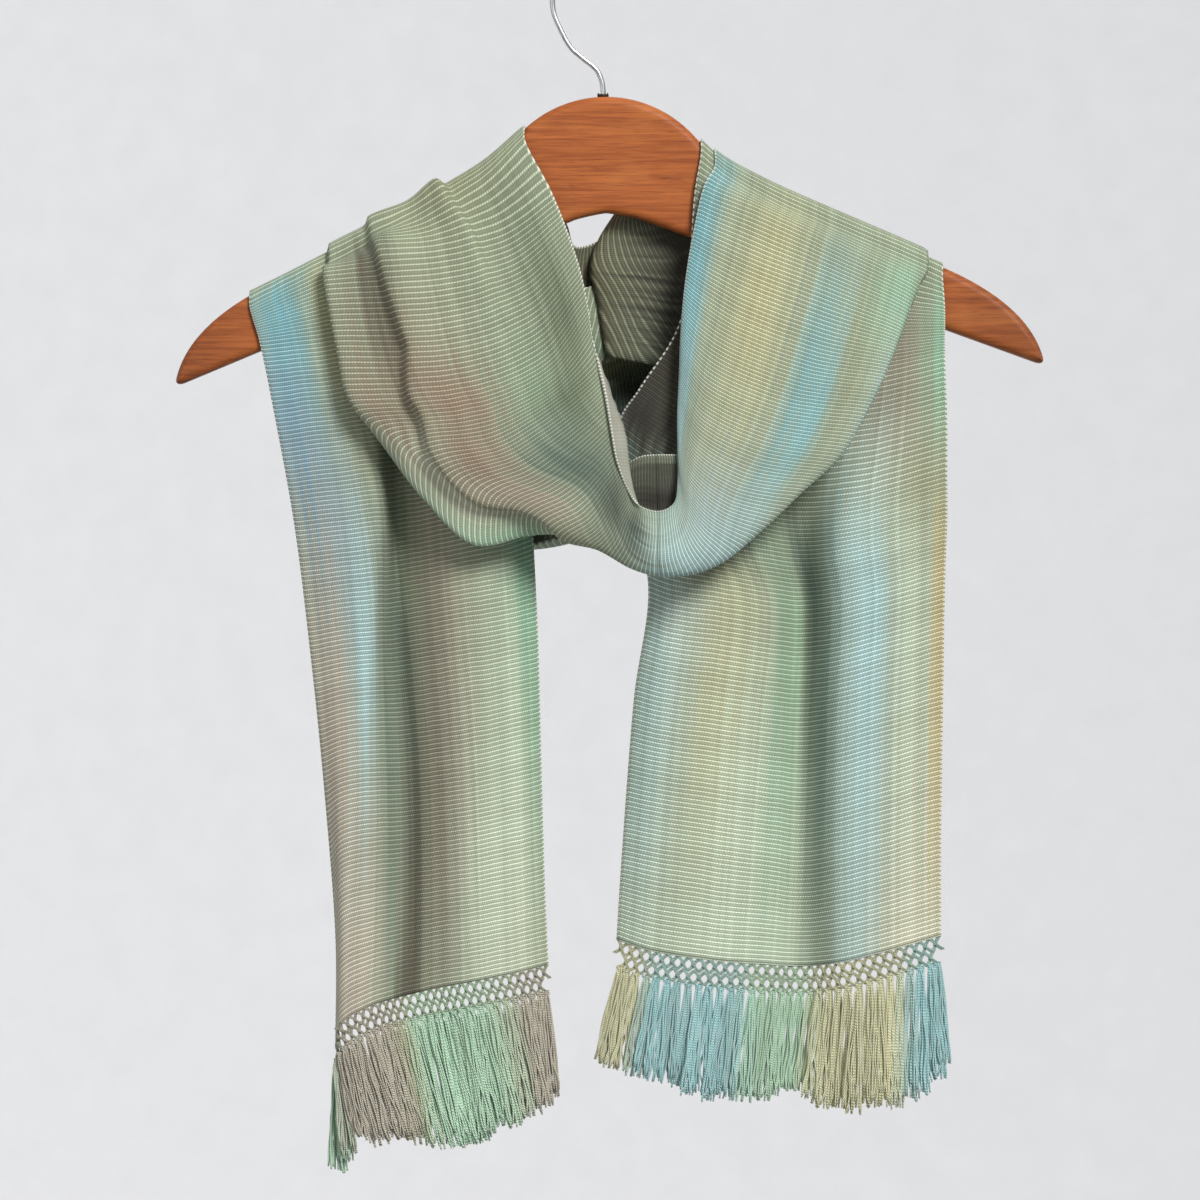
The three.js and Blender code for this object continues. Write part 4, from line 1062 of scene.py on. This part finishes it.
def build_ferrule():
    """A thin collar round the wire, with a short spike each side that grips the wood."""
    f, foot = FERRULE, -BOARD["drop"]
    ring = Bundle()
    turns = np.linspace(0, 2 * math.pi, 40)
    r = f["radius"]
    circle = np.stack([r * np.cos(turns), r * np.sin(turns), np.full(40, foot + f["rise"])], axis=1)
    ring.add(circle * MM, f["thick"] * MM, 10)
    for x in (-f["spike_x"], f["spike_x"]):
        spike = np.array([(x, -1.4, foot + 0.4), (x, -1.5, foot + 1.2), (1.05 * x, -1.5, foot + 2)])
        ring.add(spike * MM, np.array(f["spike_radii"]) * MM, 8)
    return link("hanger_ferrule_ring", ring.mesh("hanger_ferrule_ring"), dark_metal_material())


# ---------------------------------------------------------------- the scarf

@functools.lru_cache(maxsize=1)
def woven(step, columns, ground):
    """The whole cloth, worked out once: grid, stations, lengths, normals, both sides' dyes with
    their painted shade, and ribs.
    """
    grid, stations, lengths = cloth_grid(step, columns)
    across = np.linspace(0, 1, columns)
    dyes_and_shade = [dye_and_shade_field(stations, across, ground, reverse) for reverse in (False, True)]
    ribs = rib_count(stations, lengths, across)
    return grid, stations, lengths, grid_normals(grid), dyes_and_shade, ribs


def cloth_of(settings):
    return woven(settings.grid_step / MM, settings.points_across, tuple(settings.ground))


def build_stretch(settings, name, material):
    """One stretch of the cloth between two seams, as a closed thin shell."""
    row = next(row for row in STRETCHES if row[0] == name)
    _, run_a, row_a, run_b, row_b, slot = row
    grid, stations, lengths, normals, dyes_and_shade, ribs = cloth_of(settings)
    i, j = np.searchsorted(stations, (FIRST_ROW[run_a] + row_a, FIRST_ROW[run_b] + row_b))
    rows = slice(i, min(j + 1, len(stations)))
    uv = np.empty(grid[rows].shape[:2] + (2,))
    uv[:, :, 0] = np.linspace(0, 1, grid.shape[1]) * settings.width
    uv[:, :, 1] = ribs[rows] * MM
    verts, faces, uvs, colours, rim = shell(
        grid[rows] * MM, normals[rows], settings.thickness, uv, dyes_and_shade[0][rows], dyes_and_shade[1][rows]
    )
    title = name + "_cloth"
    obj = link(title, new_mesh(title, verts, faces, uvs, colours, rim), material)
    keep(obj, name)


def build_stretches(settings, *names):
    """Stretches that share one material for each slot."""
    materials = {}
    for name in names:
        slot = next(row[5] for row in STRETCHES if row[0] == name)
        if slot not in materials:
            title = "ribbed weave " + slot.replace("cloth_", "")
            materials[slot] = weave_material(title, settings.width, settings.rib_depth)
        build_stretch(settings, name, materials[slot])


# ---------------------------------------------------------------- headers and fringes

# Where the tassels end: across the header from the neck selvage, then x, y, z in mm.
FRINGE_ENDS = {
    "left": (
        (0, -26, -4, -585), (0.1, -32, -6, -591), (0.25, -47, -8, -602), (0.35, -59, -9, -605),
        (0.5, -72, -8, -613), (0.62, -92, -4, -609), (0.75, -105, -5, -607), (0.9, -124, -7, -607),
        (0.96, -132, -1, -621), (1, -138, 2, -626),
    ),
    "right": (
        (0, -2, -6, -567), (0.05, 6, -7, -573), (0.12, 20, -10, -575), (0.25, 42, -11, -583),
        (0.38, 65, -10, -588), (0.52, 90, -4, -584), (0.6, 102, -3, -587), (0.7, 119, -7, -594),
        (0.85, 148, -9, -591), (0.94, 163, -8, -585), (1, 175, -7, -566),
    ),
}
FRINGE_DYES = {
    "left": (
        (0, "taupe"), (0.1, "taupe"), (0.16, "sage"), (0.28, "mint"), (0.55, "mint"),
        (0.62, "olive"), (0.68, "taupe"), (0.92, "taupe"), (0.95, "mint"), (1, "mint"),
    ),
    "right": (
        (0, "straw"), (0.06, "straw"), (0.12, "aqua"), (0.36, "aqua"), (0.42, "mint"),
        (0.56, "mint"), (0.64, "straw"), (0.86, "straw"), (0.92, "aqua"), (1, "aqua"),
    ),
}
# The height in mm of a header's knots and the length of an even tassel.
LATTICE = 12.5
TASSEL = 70
# The random seeds: of the knots, of each fringe, and of the two scatters' uneven sizes.
SEEDS = dict(knots=11, left=23, right=29, knot_sizes=5, tassel_sizes=7)
# What each point carries to the scatter tree: attribute, type, field of its data.
POINT_DATA = (
    ("kind", "INT", "value"), ("turn", "FLOAT_VECTOR", "vector"),
    ("size", "FLOAT_VECTOR", "vector"), ("dye", "FLOAT_COLOR", "color"),
)


def scatter_tree():
    """A node tree that puts one of a collection's meshes on every point and makes it one mesh."""
    tree = bpy.data.node_groups.new("scatter on points", "GeometryNodeTree")
    for name, kind in (
        ("Points", "Geometry"), ("Pieces", "Collection"), ("Yarn", "Material"),
        ("Uneven Size", "Float"), ("Seed", "Int"),
    ):
        tree.interface.new_socket(name, in_out="INPUT", socket_type="NodeSocket" + kind)
    tree.interface.new_socket("Geometry", in_out="OUTPUT", socket_type="NodeSocketGeometry")

    def add(kind, inputs=(), **settings):
        node = tree.nodes.new(kind)
        for key, value in settings.items():
            setattr(node, key, value)
        for key, value in inputs:
            if isinstance(value, bpy.types.NodeSocket):
                tree.links.new(value, node.inputs[key])
            else:
                node.inputs[key].default_value = value
        return node

    start = add("NodeGroupInput").outputs
    at = {}
    for name, kind, _ in POINT_DATA[:3]:
        node = add("GeometryNodeInputNamedAttribute", [("Name", name)], data_type=kind)
        at[name] = node.outputs["Attribute"]
    pieces = add(
        "GeometryNodeCollectionInfo",
        [("Collection", start["Pieces"]), ("Separate Children", True), ("Reset Children", True)],
    )
    either_way = [(2, -1.0), (3, 1.0), ("Seed", start["Seed"])]
    uneven = add("FunctionNodeRandomValue", either_way, data_type="FLOAT").outputs[1]
    spread = add(
        "ShaderNodeMath",
        [(0, uneven), (1, start["Uneven Size"]), (2, 1.0)],
        operation="MULTIPLY_ADD",
    )
    grow = add(
        "ShaderNodeVectorMath", [(0, at["size"]), ("Scale", spread.outputs[0])], operation="SCALE"
    )
    place = add(
        "GeometryNodeInstanceOnPoints",
        [
            ("Points", start["Points"]),
            ("Instance", pieces.outputs[0]),
            ("Pick Instance", True),
            ("Instance Index", at["kind"]),
            ("Rotation", add("FunctionNodeEulerToRotation", [(0, at["turn"])]).outputs[0]),
            ("Scale", grow.outputs[0]),
        ],
    )
    whole = add("GeometryNodeRealizeInstances", [(0, place.outputs[0])]).outputs[0]
    paint = add("GeometryNodeSetMaterial", [("Geometry", whole), ("Material", start["Yarn"])])
    add("NodeGroupOutput", [(0, paint.outputs[0])])
    return tree


def scatter(name, points, point_values, pieces, material, uneven, seed):
    """Bakes the scatter tree's result on the given points to one plain mesh."""
    tree = bpy.data.node_groups.get("scatter on points") or scatter_tree()
    cloud = bpy.data.meshes.new(name + "_points")
    cloud.from_pydata([tuple(p) for p in points], [], [])
    for (key, kind, field), values in zip(POINT_DATA, point_values):
        layer = cloud.attributes.new(key, kind, "POINT")
        layer.data.foreach_set(field, np.asarray(values).ravel())
    carrier = add_object(name + "_points", cloud)
    shelf = bpy.data.collections.new(name + "_pieces")
    bpy.context.scene.collection.children.link(shelf)
    for i, mesh in enumerate(pieces):
        shelf.objects.link(bpy.data.objects.new("%s_piece_%d" % (name, i), mesh))
    modifier = carrier.modifiers.new("scatter", "NODES")
    modifier.node_group = tree
    values = {"Pieces": shelf, "Yarn": material, "Uneven Size": uneven, "Seed": seed}
    for item in tree.interface.items_tree:
        if item.in_out == "INPUT" and item.name in values:
            modifier[item.identifier] = values[item.name]
    bpy.context.view_layer.update()
    depsgraph = bpy.context.evaluated_depsgraph_get()
    mesh = bpy.data.meshes.new_from_object(carrier.evaluated_get(depsgraph), depsgraph=depsgraph)
    mesh.name = name
    if not mesh.vertices:
        raise RuntimeError("no pieces were placed for " + name)
    for item in list(shelf.objects) + [carrier]:
        bpy.data.objects.remove(item)
    bpy.data.collections.remove(shelf)
    return link(name, mesh, material)


def knot_cell(seed):
    """Two crossing pairs of yarn with a round knot where they cross, about a unit wide and high."""
    rng = np.random.default_rng(seed)
    cell = Bundle()
    yarn, loop, sides = 0.085, 0.17, 6
    t = np.linspace(-1, 1, 11)
    for lean in (1, -1):
        for pair in (-0.07, 0.07):
            x = lean * 0.5 * np.sign(t) * np.abs(t) ** 1.4 + pair * (1 + 0.6 * np.abs(t))
            x = x + rng.normal(0, 0.012)
            y = lean * 0.10 * np.cos(t * math.pi / 2)
            cell.add(np.stack([x, y, 0.52 * t], axis=1), yarn, sides)
    a = np.linspace(0, 2 * math.pi, 22)
    for tilt, lift in ((0.5, 0.05), (-0.5, -0.06)):
        x = loop * np.cos(a)
        cell.add(np.stack([x, loop * np.sin(a), lift + tilt * x], axis=1), yarn, sides)
    return cell.mesh("knot cell")


def tassel_mesh(seed, strands, radius):
    """One tassel of twisted strands that hangs from its knot at the origin, in metres."""
    rng = np.random.default_rng(seed)
    tassel = Bundle()
    core, wide, deep = 1.7, 4.9, 2.4
    t = np.linspace(0, 1, 15)
    ease = t**0.5
    for k in range(strands):
        a = 2 * math.pi * k / strands + rng.uniform(-0.3, 0.3)
        inner = core * math.sqrt(rng.uniform(0.1, 1))
        spread = rng.uniform(-wide, wide), rng.uniform(-deep, deep)
        length = TASSEL * rng.uniform(0.90, 1.02)
        sway = rng.uniform(-1.5, 1.5) * np.sin(t * rng.uniform(4, 13) + rng.uniform(0, 3)) * t**0.7
        x = inner * np.cos(a) * (1 - ease) + spread[0] * ease + sway
        y = inner * np.sin(a) * (1 - ease) + spread[1] * ease + sway * rng.uniform(-0.6, 0.6)
        tassel.add(np.stack([x, y, -length * t], axis=1) * MM, radius, 5)
    two_turns = 4 * math.pi
    a = np.linspace(0, two_turns, 34)
    wrap = np.stack([core * np.cos(a), 1.5 * np.sin(a), 0.6 - 2.2 * a / two_turns], axis=1)
    tassel.add(wrap * MM, 0.55 * MM, 6)
    return tassel.mesh("tassel")


def header(settings, cloth, side):
    """The cloth's end from the neck selvage to the outer one, and how many tassels it has."""
    left = side == "left"
    line = cloth_of(cloth)[0][0 if left else -1]
    return line, settings.tassels_left if left else settings.tassels_right


def across_line(line, u):
    return read_table(u, np.linspace(0, 1, len(line)), line)


def fringe_colour(side, u, rng):
    places, names = zip(*FRINGE_DYES[side])
    rgb = read_table(u, places, [DYES_AND_SHADES[name] for name in names])
    rgb = rgb * rng.uniform(1.05, 1.3, (len(u), 1))
    return np.concatenate([rgb, np.ones((len(u), 1))], axis=1)


def build_knots(settings, cloth, side):
    line, n = header(settings, cloth, side)
    rng = np.random.default_rng(SEEDS["knots"])
    points, kinds, turns, sizes, us = [], [], [], [], []
    width = length_along(line)[-1] / n
    high = LATTICE / 2 + 0.2
    for row in range(2):
        u = (np.arange(n - row) + 0.5 + 0.5 * row) / n
        at, after, before = (across_line(line, np.clip(u + du, 0, 1)) for du in (0, 0.01, -0.01))
        ahead = after - before
        for k in range(n - row):
            run = Vector(ahead[k] * (1 if side == "right" else -1)).normalized()
            out = Vector((0, 0, 1)).cross(run).normalized()
            points.append((at[k] + (0, 0, -high * (row + 0.5))) * MM)
            turns.append(tuple(Matrix((run, out, run.cross(out))).transposed().to_euler()))
            kinds.append(int(rng.integers(3)))
            sizes.append((width * 1.05 * MM, 3.6 * MM, high * 1.04 * MM))
            us.append(u[k])
    colours = fringe_colour(side, np.array(us), rng) * (0.74, 0.74, 0.66, 1)
    cells = [knot_cell(seed) for seed in range(3)]
    yarn = yarn_material("knotted yarn " + side, (0.92, 0.92, 0.82, 1))
    name = "knots_" + side
    values = kinds, turns, sizes, colours
    obj = scatter(name + "_lattice", points, values, cells, yarn, 0.04, SEEDS["knot_sizes"])
    keep(obj, name)


def build_fringe(settings, cloth, side):
    line, n = header(settings, cloth, side)
    rng = np.random.default_rng(SEEDS[side])
    u = np.clip(np.arange(n + 1) / n, 0.012, 0.988)
    top = across_line(line, u) - (0, 0, LATTICE + 0.8)
    ends = np.array(FRINGE_ENDS[side])
    bottom = read_table(u, ends[:, 0], ends[:, 1:])
    bottom += rng.normal(0, 1, bottom.shape) * (1.0, 0.8, 1.4)
    hang = bottom - top
    sizes = np.ones((n + 1, 3))
    sizes[:, 2] = np.linalg.norm(hang, axis=1) / TASSEL
    turns = [tuple(Vector((0, 0, -1)).rotation_difference(Vector(h)).to_euler()) for h in hang]
    tassels = [tassel_mesh(seed, settings.strands, settings.strand_radius) for seed in range(6)]
    kinds = rng.integers(0, len(tassels), n + 1)
    colours = fringe_colour(side, u, rng)
    yarn = yarn_material("fringe yarn " + side)
    name = "fringe_" + side
    values = kinds, turns, sizes, colours
    seed = SEEDS["tassel_sizes"]
    obj = scatter(name + "_tassels", top * MM, values, tassels, yarn, settings.uneven, seed)
    keep(obj, name)


# ---------------------------------------------------------------- stage

# The picture's width and its centre's x and z, in metres.
VIEW_WIDTH = 0.6156
VIEW_CENTRE = (-0.001539, -0.332)
# The round backdrop: its radius, the bend from floor to wall, and the heights of both, in metres.
SWEEP = dict(radius=9.0, bend=2.5, low=-4.2, high=1.6, turns=96)


def build_sweep():
    bend, low, turns = SWEEP["bend"], SWEEP["low"], SWEEP["turns"]
    inner = SWEEP["radius"] - bend
    profile = [
        (inner + bend * math.sin(a), low + bend - bend * math.cos(a))
        for a in np.linspace(0, math.pi / 2, 12)
    ]
    profile.append((SWEEP["radius"], SWEEP["high"]))
    angles = np.linspace(0, 2 * math.pi, turns, endpoint=False)
    verts = [(r * math.cos(a), r * math.sin(a), z) for r, z in profile for a in angles]
    centre = len(verts)
    faces = [(centre, k, (k + 1) % turns) for k in range(turns)]
    faces += quads(ring_ids(len(profile), turns), flip=True).tolist()
    return plain_mesh("studio_sweep", verts + [(0, 0, low)], faces)


def build_stage(settings):
    floor = link("studio_sweep", build_sweep(), backdrop_material(settings.backdrop))

    for name, kind, where, power, size in (
        ("key light", "SUN", (1.7, -3.4, 1.9), settings.key_strength, math.radians(20)),
        ("fill light", "AREA", (-3.4, -3.4, 0.6), 30, 3.0),
        ("back light", "AREA", (0.5, 3.8, 2.0), 50, 3.0),
    ):
        lamp = bpy.data.lights.new(name, kind)
        lamp.energy = power
        setattr(lamp, "angle" if kind == "SUN" else "size", size)
        obj = add_object(name, lamp)
        obj.location = where
        aim = Vector((0, 0, VIEW_CENTRE[1])) - Vector(where)
        obj.rotation_euler = aim.to_track_quat("-Z", "Y").to_euler()
    world = bpy.data.worlds.new("soft daylight")
    world.use_nodes = True
    sky = world.node_tree.nodes["Background"]
    sky.inputs[0].default_value = (0.96, 0.98, 1.0, 1)
    sky.inputs[1].default_value = settings.daylight
    bpy.context.scene.world = world
    bpy.context.scene.view_settings.view_transform = "Standard"

    distance = settings.camera_distance
    lens = bpy.data.cameras.new("camera")
    lens.sensor_width = lens.sensor_height = 36.0
    lens.lens = 36.0 * distance / VIEW_WIDTH
    lens.clip_end = 60
    camera = add_object("camera", lens)
    camera.location = (VIEW_CENTRE[0], -distance, VIEW_CENTRE[1])
    camera.rotation_euler = (math.pi / 2, 0, 0)
    bpy.context.scene.camera = camera


# ---------------------------------------------------------------- the add-on


def described(kind, name, description, default, low, high, **more):
    return kind(name=name, description=description, default=default, min=low, max=high, **more)


def size(*row):
    return described(bpy.props.FloatProperty, *row, unit="LENGTH", precision=5)


def number(*row):
    return described(bpy.props.IntProperty, *row)


def strength(*row):
    return described(bpy.props.FloatProperty, *row)


def colour(*row):
    return described(bpy.props.FloatVectorProperty, *row, 0, 1, subtype="COLOR", size=3)


class ScarfHangerSettings(bpy.types.PropertyGroup):
    """Sizes and colours of the coat hanger"""

    board_thickness: size("Board Thickness", "Thickness, front to back", 0.014, 0.01, 0.02)
    wire_radius: size("Wire Radius", "Half the thickness of the hook's wire", 0.0014, 0.001, 0.003)
    dark_grain: colour("Dark Grain", "The darker streaks of the wood", (0.27, 0.068, 0.018))
    light_grain: colour("Light Grain", "The lighter streaks of the wood", (0.47, 0.135, 0.033))


class ScarfClothSettings(bpy.types.PropertyGroup):
    """Sizes and ground colour of the cloth"""

    width: size("Width", "Flat width of the cloth between its selvages", 0.18, 0.1, 0.4)
    thickness: size("Thickness", "Thickness of the cloth", 0.001, 0.0005, 0.003)
    rib_depth: size("Rib Depth", "How far the ribs stand out", 0.0007, 0.0, 0.002)
    grid_step: size("Grid Step", "Step of the cloth's mesh along it", 0.0024, 0.0015, 0.02)
    points_across: number("Points Across", "Points of the mesh across the cloth", 84, 20, 120)
    ground: colour("Ground", "Colour of the cloth between the other dyes", DYES_AND_SHADES["sage"])


class ScarfFringeSettings(bpy.types.PropertyGroup):
    """Numbers and sizes of the knots and tassels"""

    tassels_left: number("Tassels Left", "Knots across the left end's header", 29, 10, 60)
    tassels_right: number("Tassels Right", "Knots across the right end's header", 32, 10, 60)
    strands: number("Strands", "Twisted strands in each tassel", 24, 4, 40)
    strand_radius: size("Strand Radius", "Half the thickness of a strand", 0.00046, 0.0003, 0.001)
    uneven: strength("Uneven", "How much the tassels differ in size", 0.01, 0, 0.2)


class ScarfStageSettings(bpy.types.PropertyGroup):
    """Backdrop, light and camera"""

    backdrop: colour("Backdrop", "Colour of the plain sweep behind the scarf", (0.57, 0.57, 0.575))
    key_strength: strength("Key Light", "Strength of the main light", 3.0, 0, 20)
    daylight: strength("Daylight", "Strength of the light from all sides", 0.5, 0, 5)
    camera_distance: size("Camera Distance", "From the lens to the scarf", 4.0, 1.0, 20.0)


class SCARF_OT_board(bpy.types.Operator):
    """Build the hanger's wooden board"""

    bl_idname = "scarf.board"
    bl_label = "Board"

    def execute(self, context):
        keep(build_board(context.scene.scarf_hanger), "hanger_board")
        return {"FINISHED"}


class SCARF_OT_hook(bpy.types.Operator):
    """Build the hanger's wire hook"""

    bl_idname = "scarf.hook"
    bl_label = "Hook"

    def execute(self, context):
        keep(build_hook(context.scene.scarf_hanger), "hanger_hook")
        return {"FINISHED"}


class SCARF_OT_ferrule(bpy.types.Operator):
    """Build the small collar at the hook's foot"""

    bl_idname = "scarf.ferrule"
    bl_label = "Ferrule"

    def execute(self, context):
        keep(build_ferrule(), "hanger_ferrule")
        return {"FINISHED"}


class SCARF_OT_tails(bpy.types.Operator):
    """Build the two hanging tails of the scarf"""

    bl_idname = "scarf.tails"
    bl_label = "Tails"

    def execute(self, context):
        build_stretches(context.scene.scarf_cloth, "tail_left", "tail_right")
        return {"FINISHED"}


class SCARF_OT_cowl(bpy.types.Operator):
    """Build the two halves of the cowl in front"""

    bl_idname = "scarf.cowl"
    bl_label = "Cowl"

    def execute(self, context):
        build_stretches(context.scene.scarf_cloth, "cowl_right", "cowl_left")
        return {"FINISHED"}


class SCARF_OT_back(bpy.types.Operator):
    """Build the two passes of the scarf behind the hanger"""

    bl_idname = "scarf.back"
    bl_label = "Back Passes"

    def execute(self, context):
        build_stretches(context.scene.scarf_cloth, "back_pass_lower", "back_pass_upper")
        return {"FINISHED"}


class SCARF_OT_knots(bpy.types.Operator):
    """Build the knotted headers of both ends"""

    bl_idname = "scarf.knots"
    bl_label = "Knotted Headers"

    def execute(self, context):
        for side in ("left", "right"):
            build_knots(context.scene.scarf_fringe, context.scene.scarf_cloth, side)
        return {"FINISHED"}


class SCARF_OT_fringes(bpy.types.Operator):
    """Build the tassels of both ends"""

    bl_idname = "scarf.fringes"
    bl_label = "Fringes"

    def execute(self, context):
        for side in ("left", "right"):
            build_fringe(context.scene.scarf_fringe, context.scene.scarf_cloth, side)
        return {"FINISHED"}


class SCARF_OT_stage(bpy.types.Operator):
    """Set up the backdrop, the lights and the camera"""

    bl_idname = "scarf.stage"
    bl_label = "Stage"

    def execute(self, context):
        build_stage(context.scene.scarf_stage)
        return {"FINISHED"}


class SCARF_PT_panel(bpy.types.Panel):
    """Lists the settings and the steps that build the scarf"""

    bl_label = "Scarf on a Hanger"
    bl_idname = "SCARF_PT_panel"
    bl_space_type = "VIEW_3D"
    bl_region_type = "UI"
    bl_category = "Scarf"

    def draw(self, context):
        for name, group in SETTINGS.items():
            box = self.layout.box()
            for key in group.__annotations__:
                box.prop(getattr(context.scene, name), key)
        for step in STEPS:
            self.layout.operator(step.bl_idname)


SETTINGS = {
    "scarf_hanger": ScarfHangerSettings,
    "scarf_cloth": ScarfClothSettings,
    "scarf_fringe": ScarfFringeSettings,
    "scarf_stage": ScarfStageSettings,
}
STEPS = (
    SCARF_OT_board, SCARF_OT_hook, SCARF_OT_ferrule, SCARF_OT_tails, SCARF_OT_cowl, SCARF_OT_back,
    SCARF_OT_knots, SCARF_OT_fringes, SCARF_OT_stage,
)
CLASSES = tuple(SETTINGS.values()) + STEPS + (SCARF_PT_panel,)


def register():
    for cls in CLASSES:
        bpy.utils.register_class(cls)
    for name, group in SETTINGS.items():
        setattr(bpy.types.Scene, name, bpy.props.PointerProperty(type=group))


def unregister():
    for name in SETTINGS:
        delattr(bpy.types.Scene, name)
    for cls in reversed(CLASSES):
        bpy.utils.unregister_class(cls)


def main():
    register()
    bpy.ops.scarf.board()
    bpy.ops.scarf.hook()
    bpy.ops.scarf.ferrule()
    bpy.ops.scarf.tails()
    bpy.ops.scarf.cowl()
    bpy.ops.scarf.back()
    bpy.ops.scarf.knots()
    bpy.ops.scarf.fringes()
    bpy.ops.scarf.stage()
    bpy.context.view_layer.update()


if __name__ == "__main__":
    main()
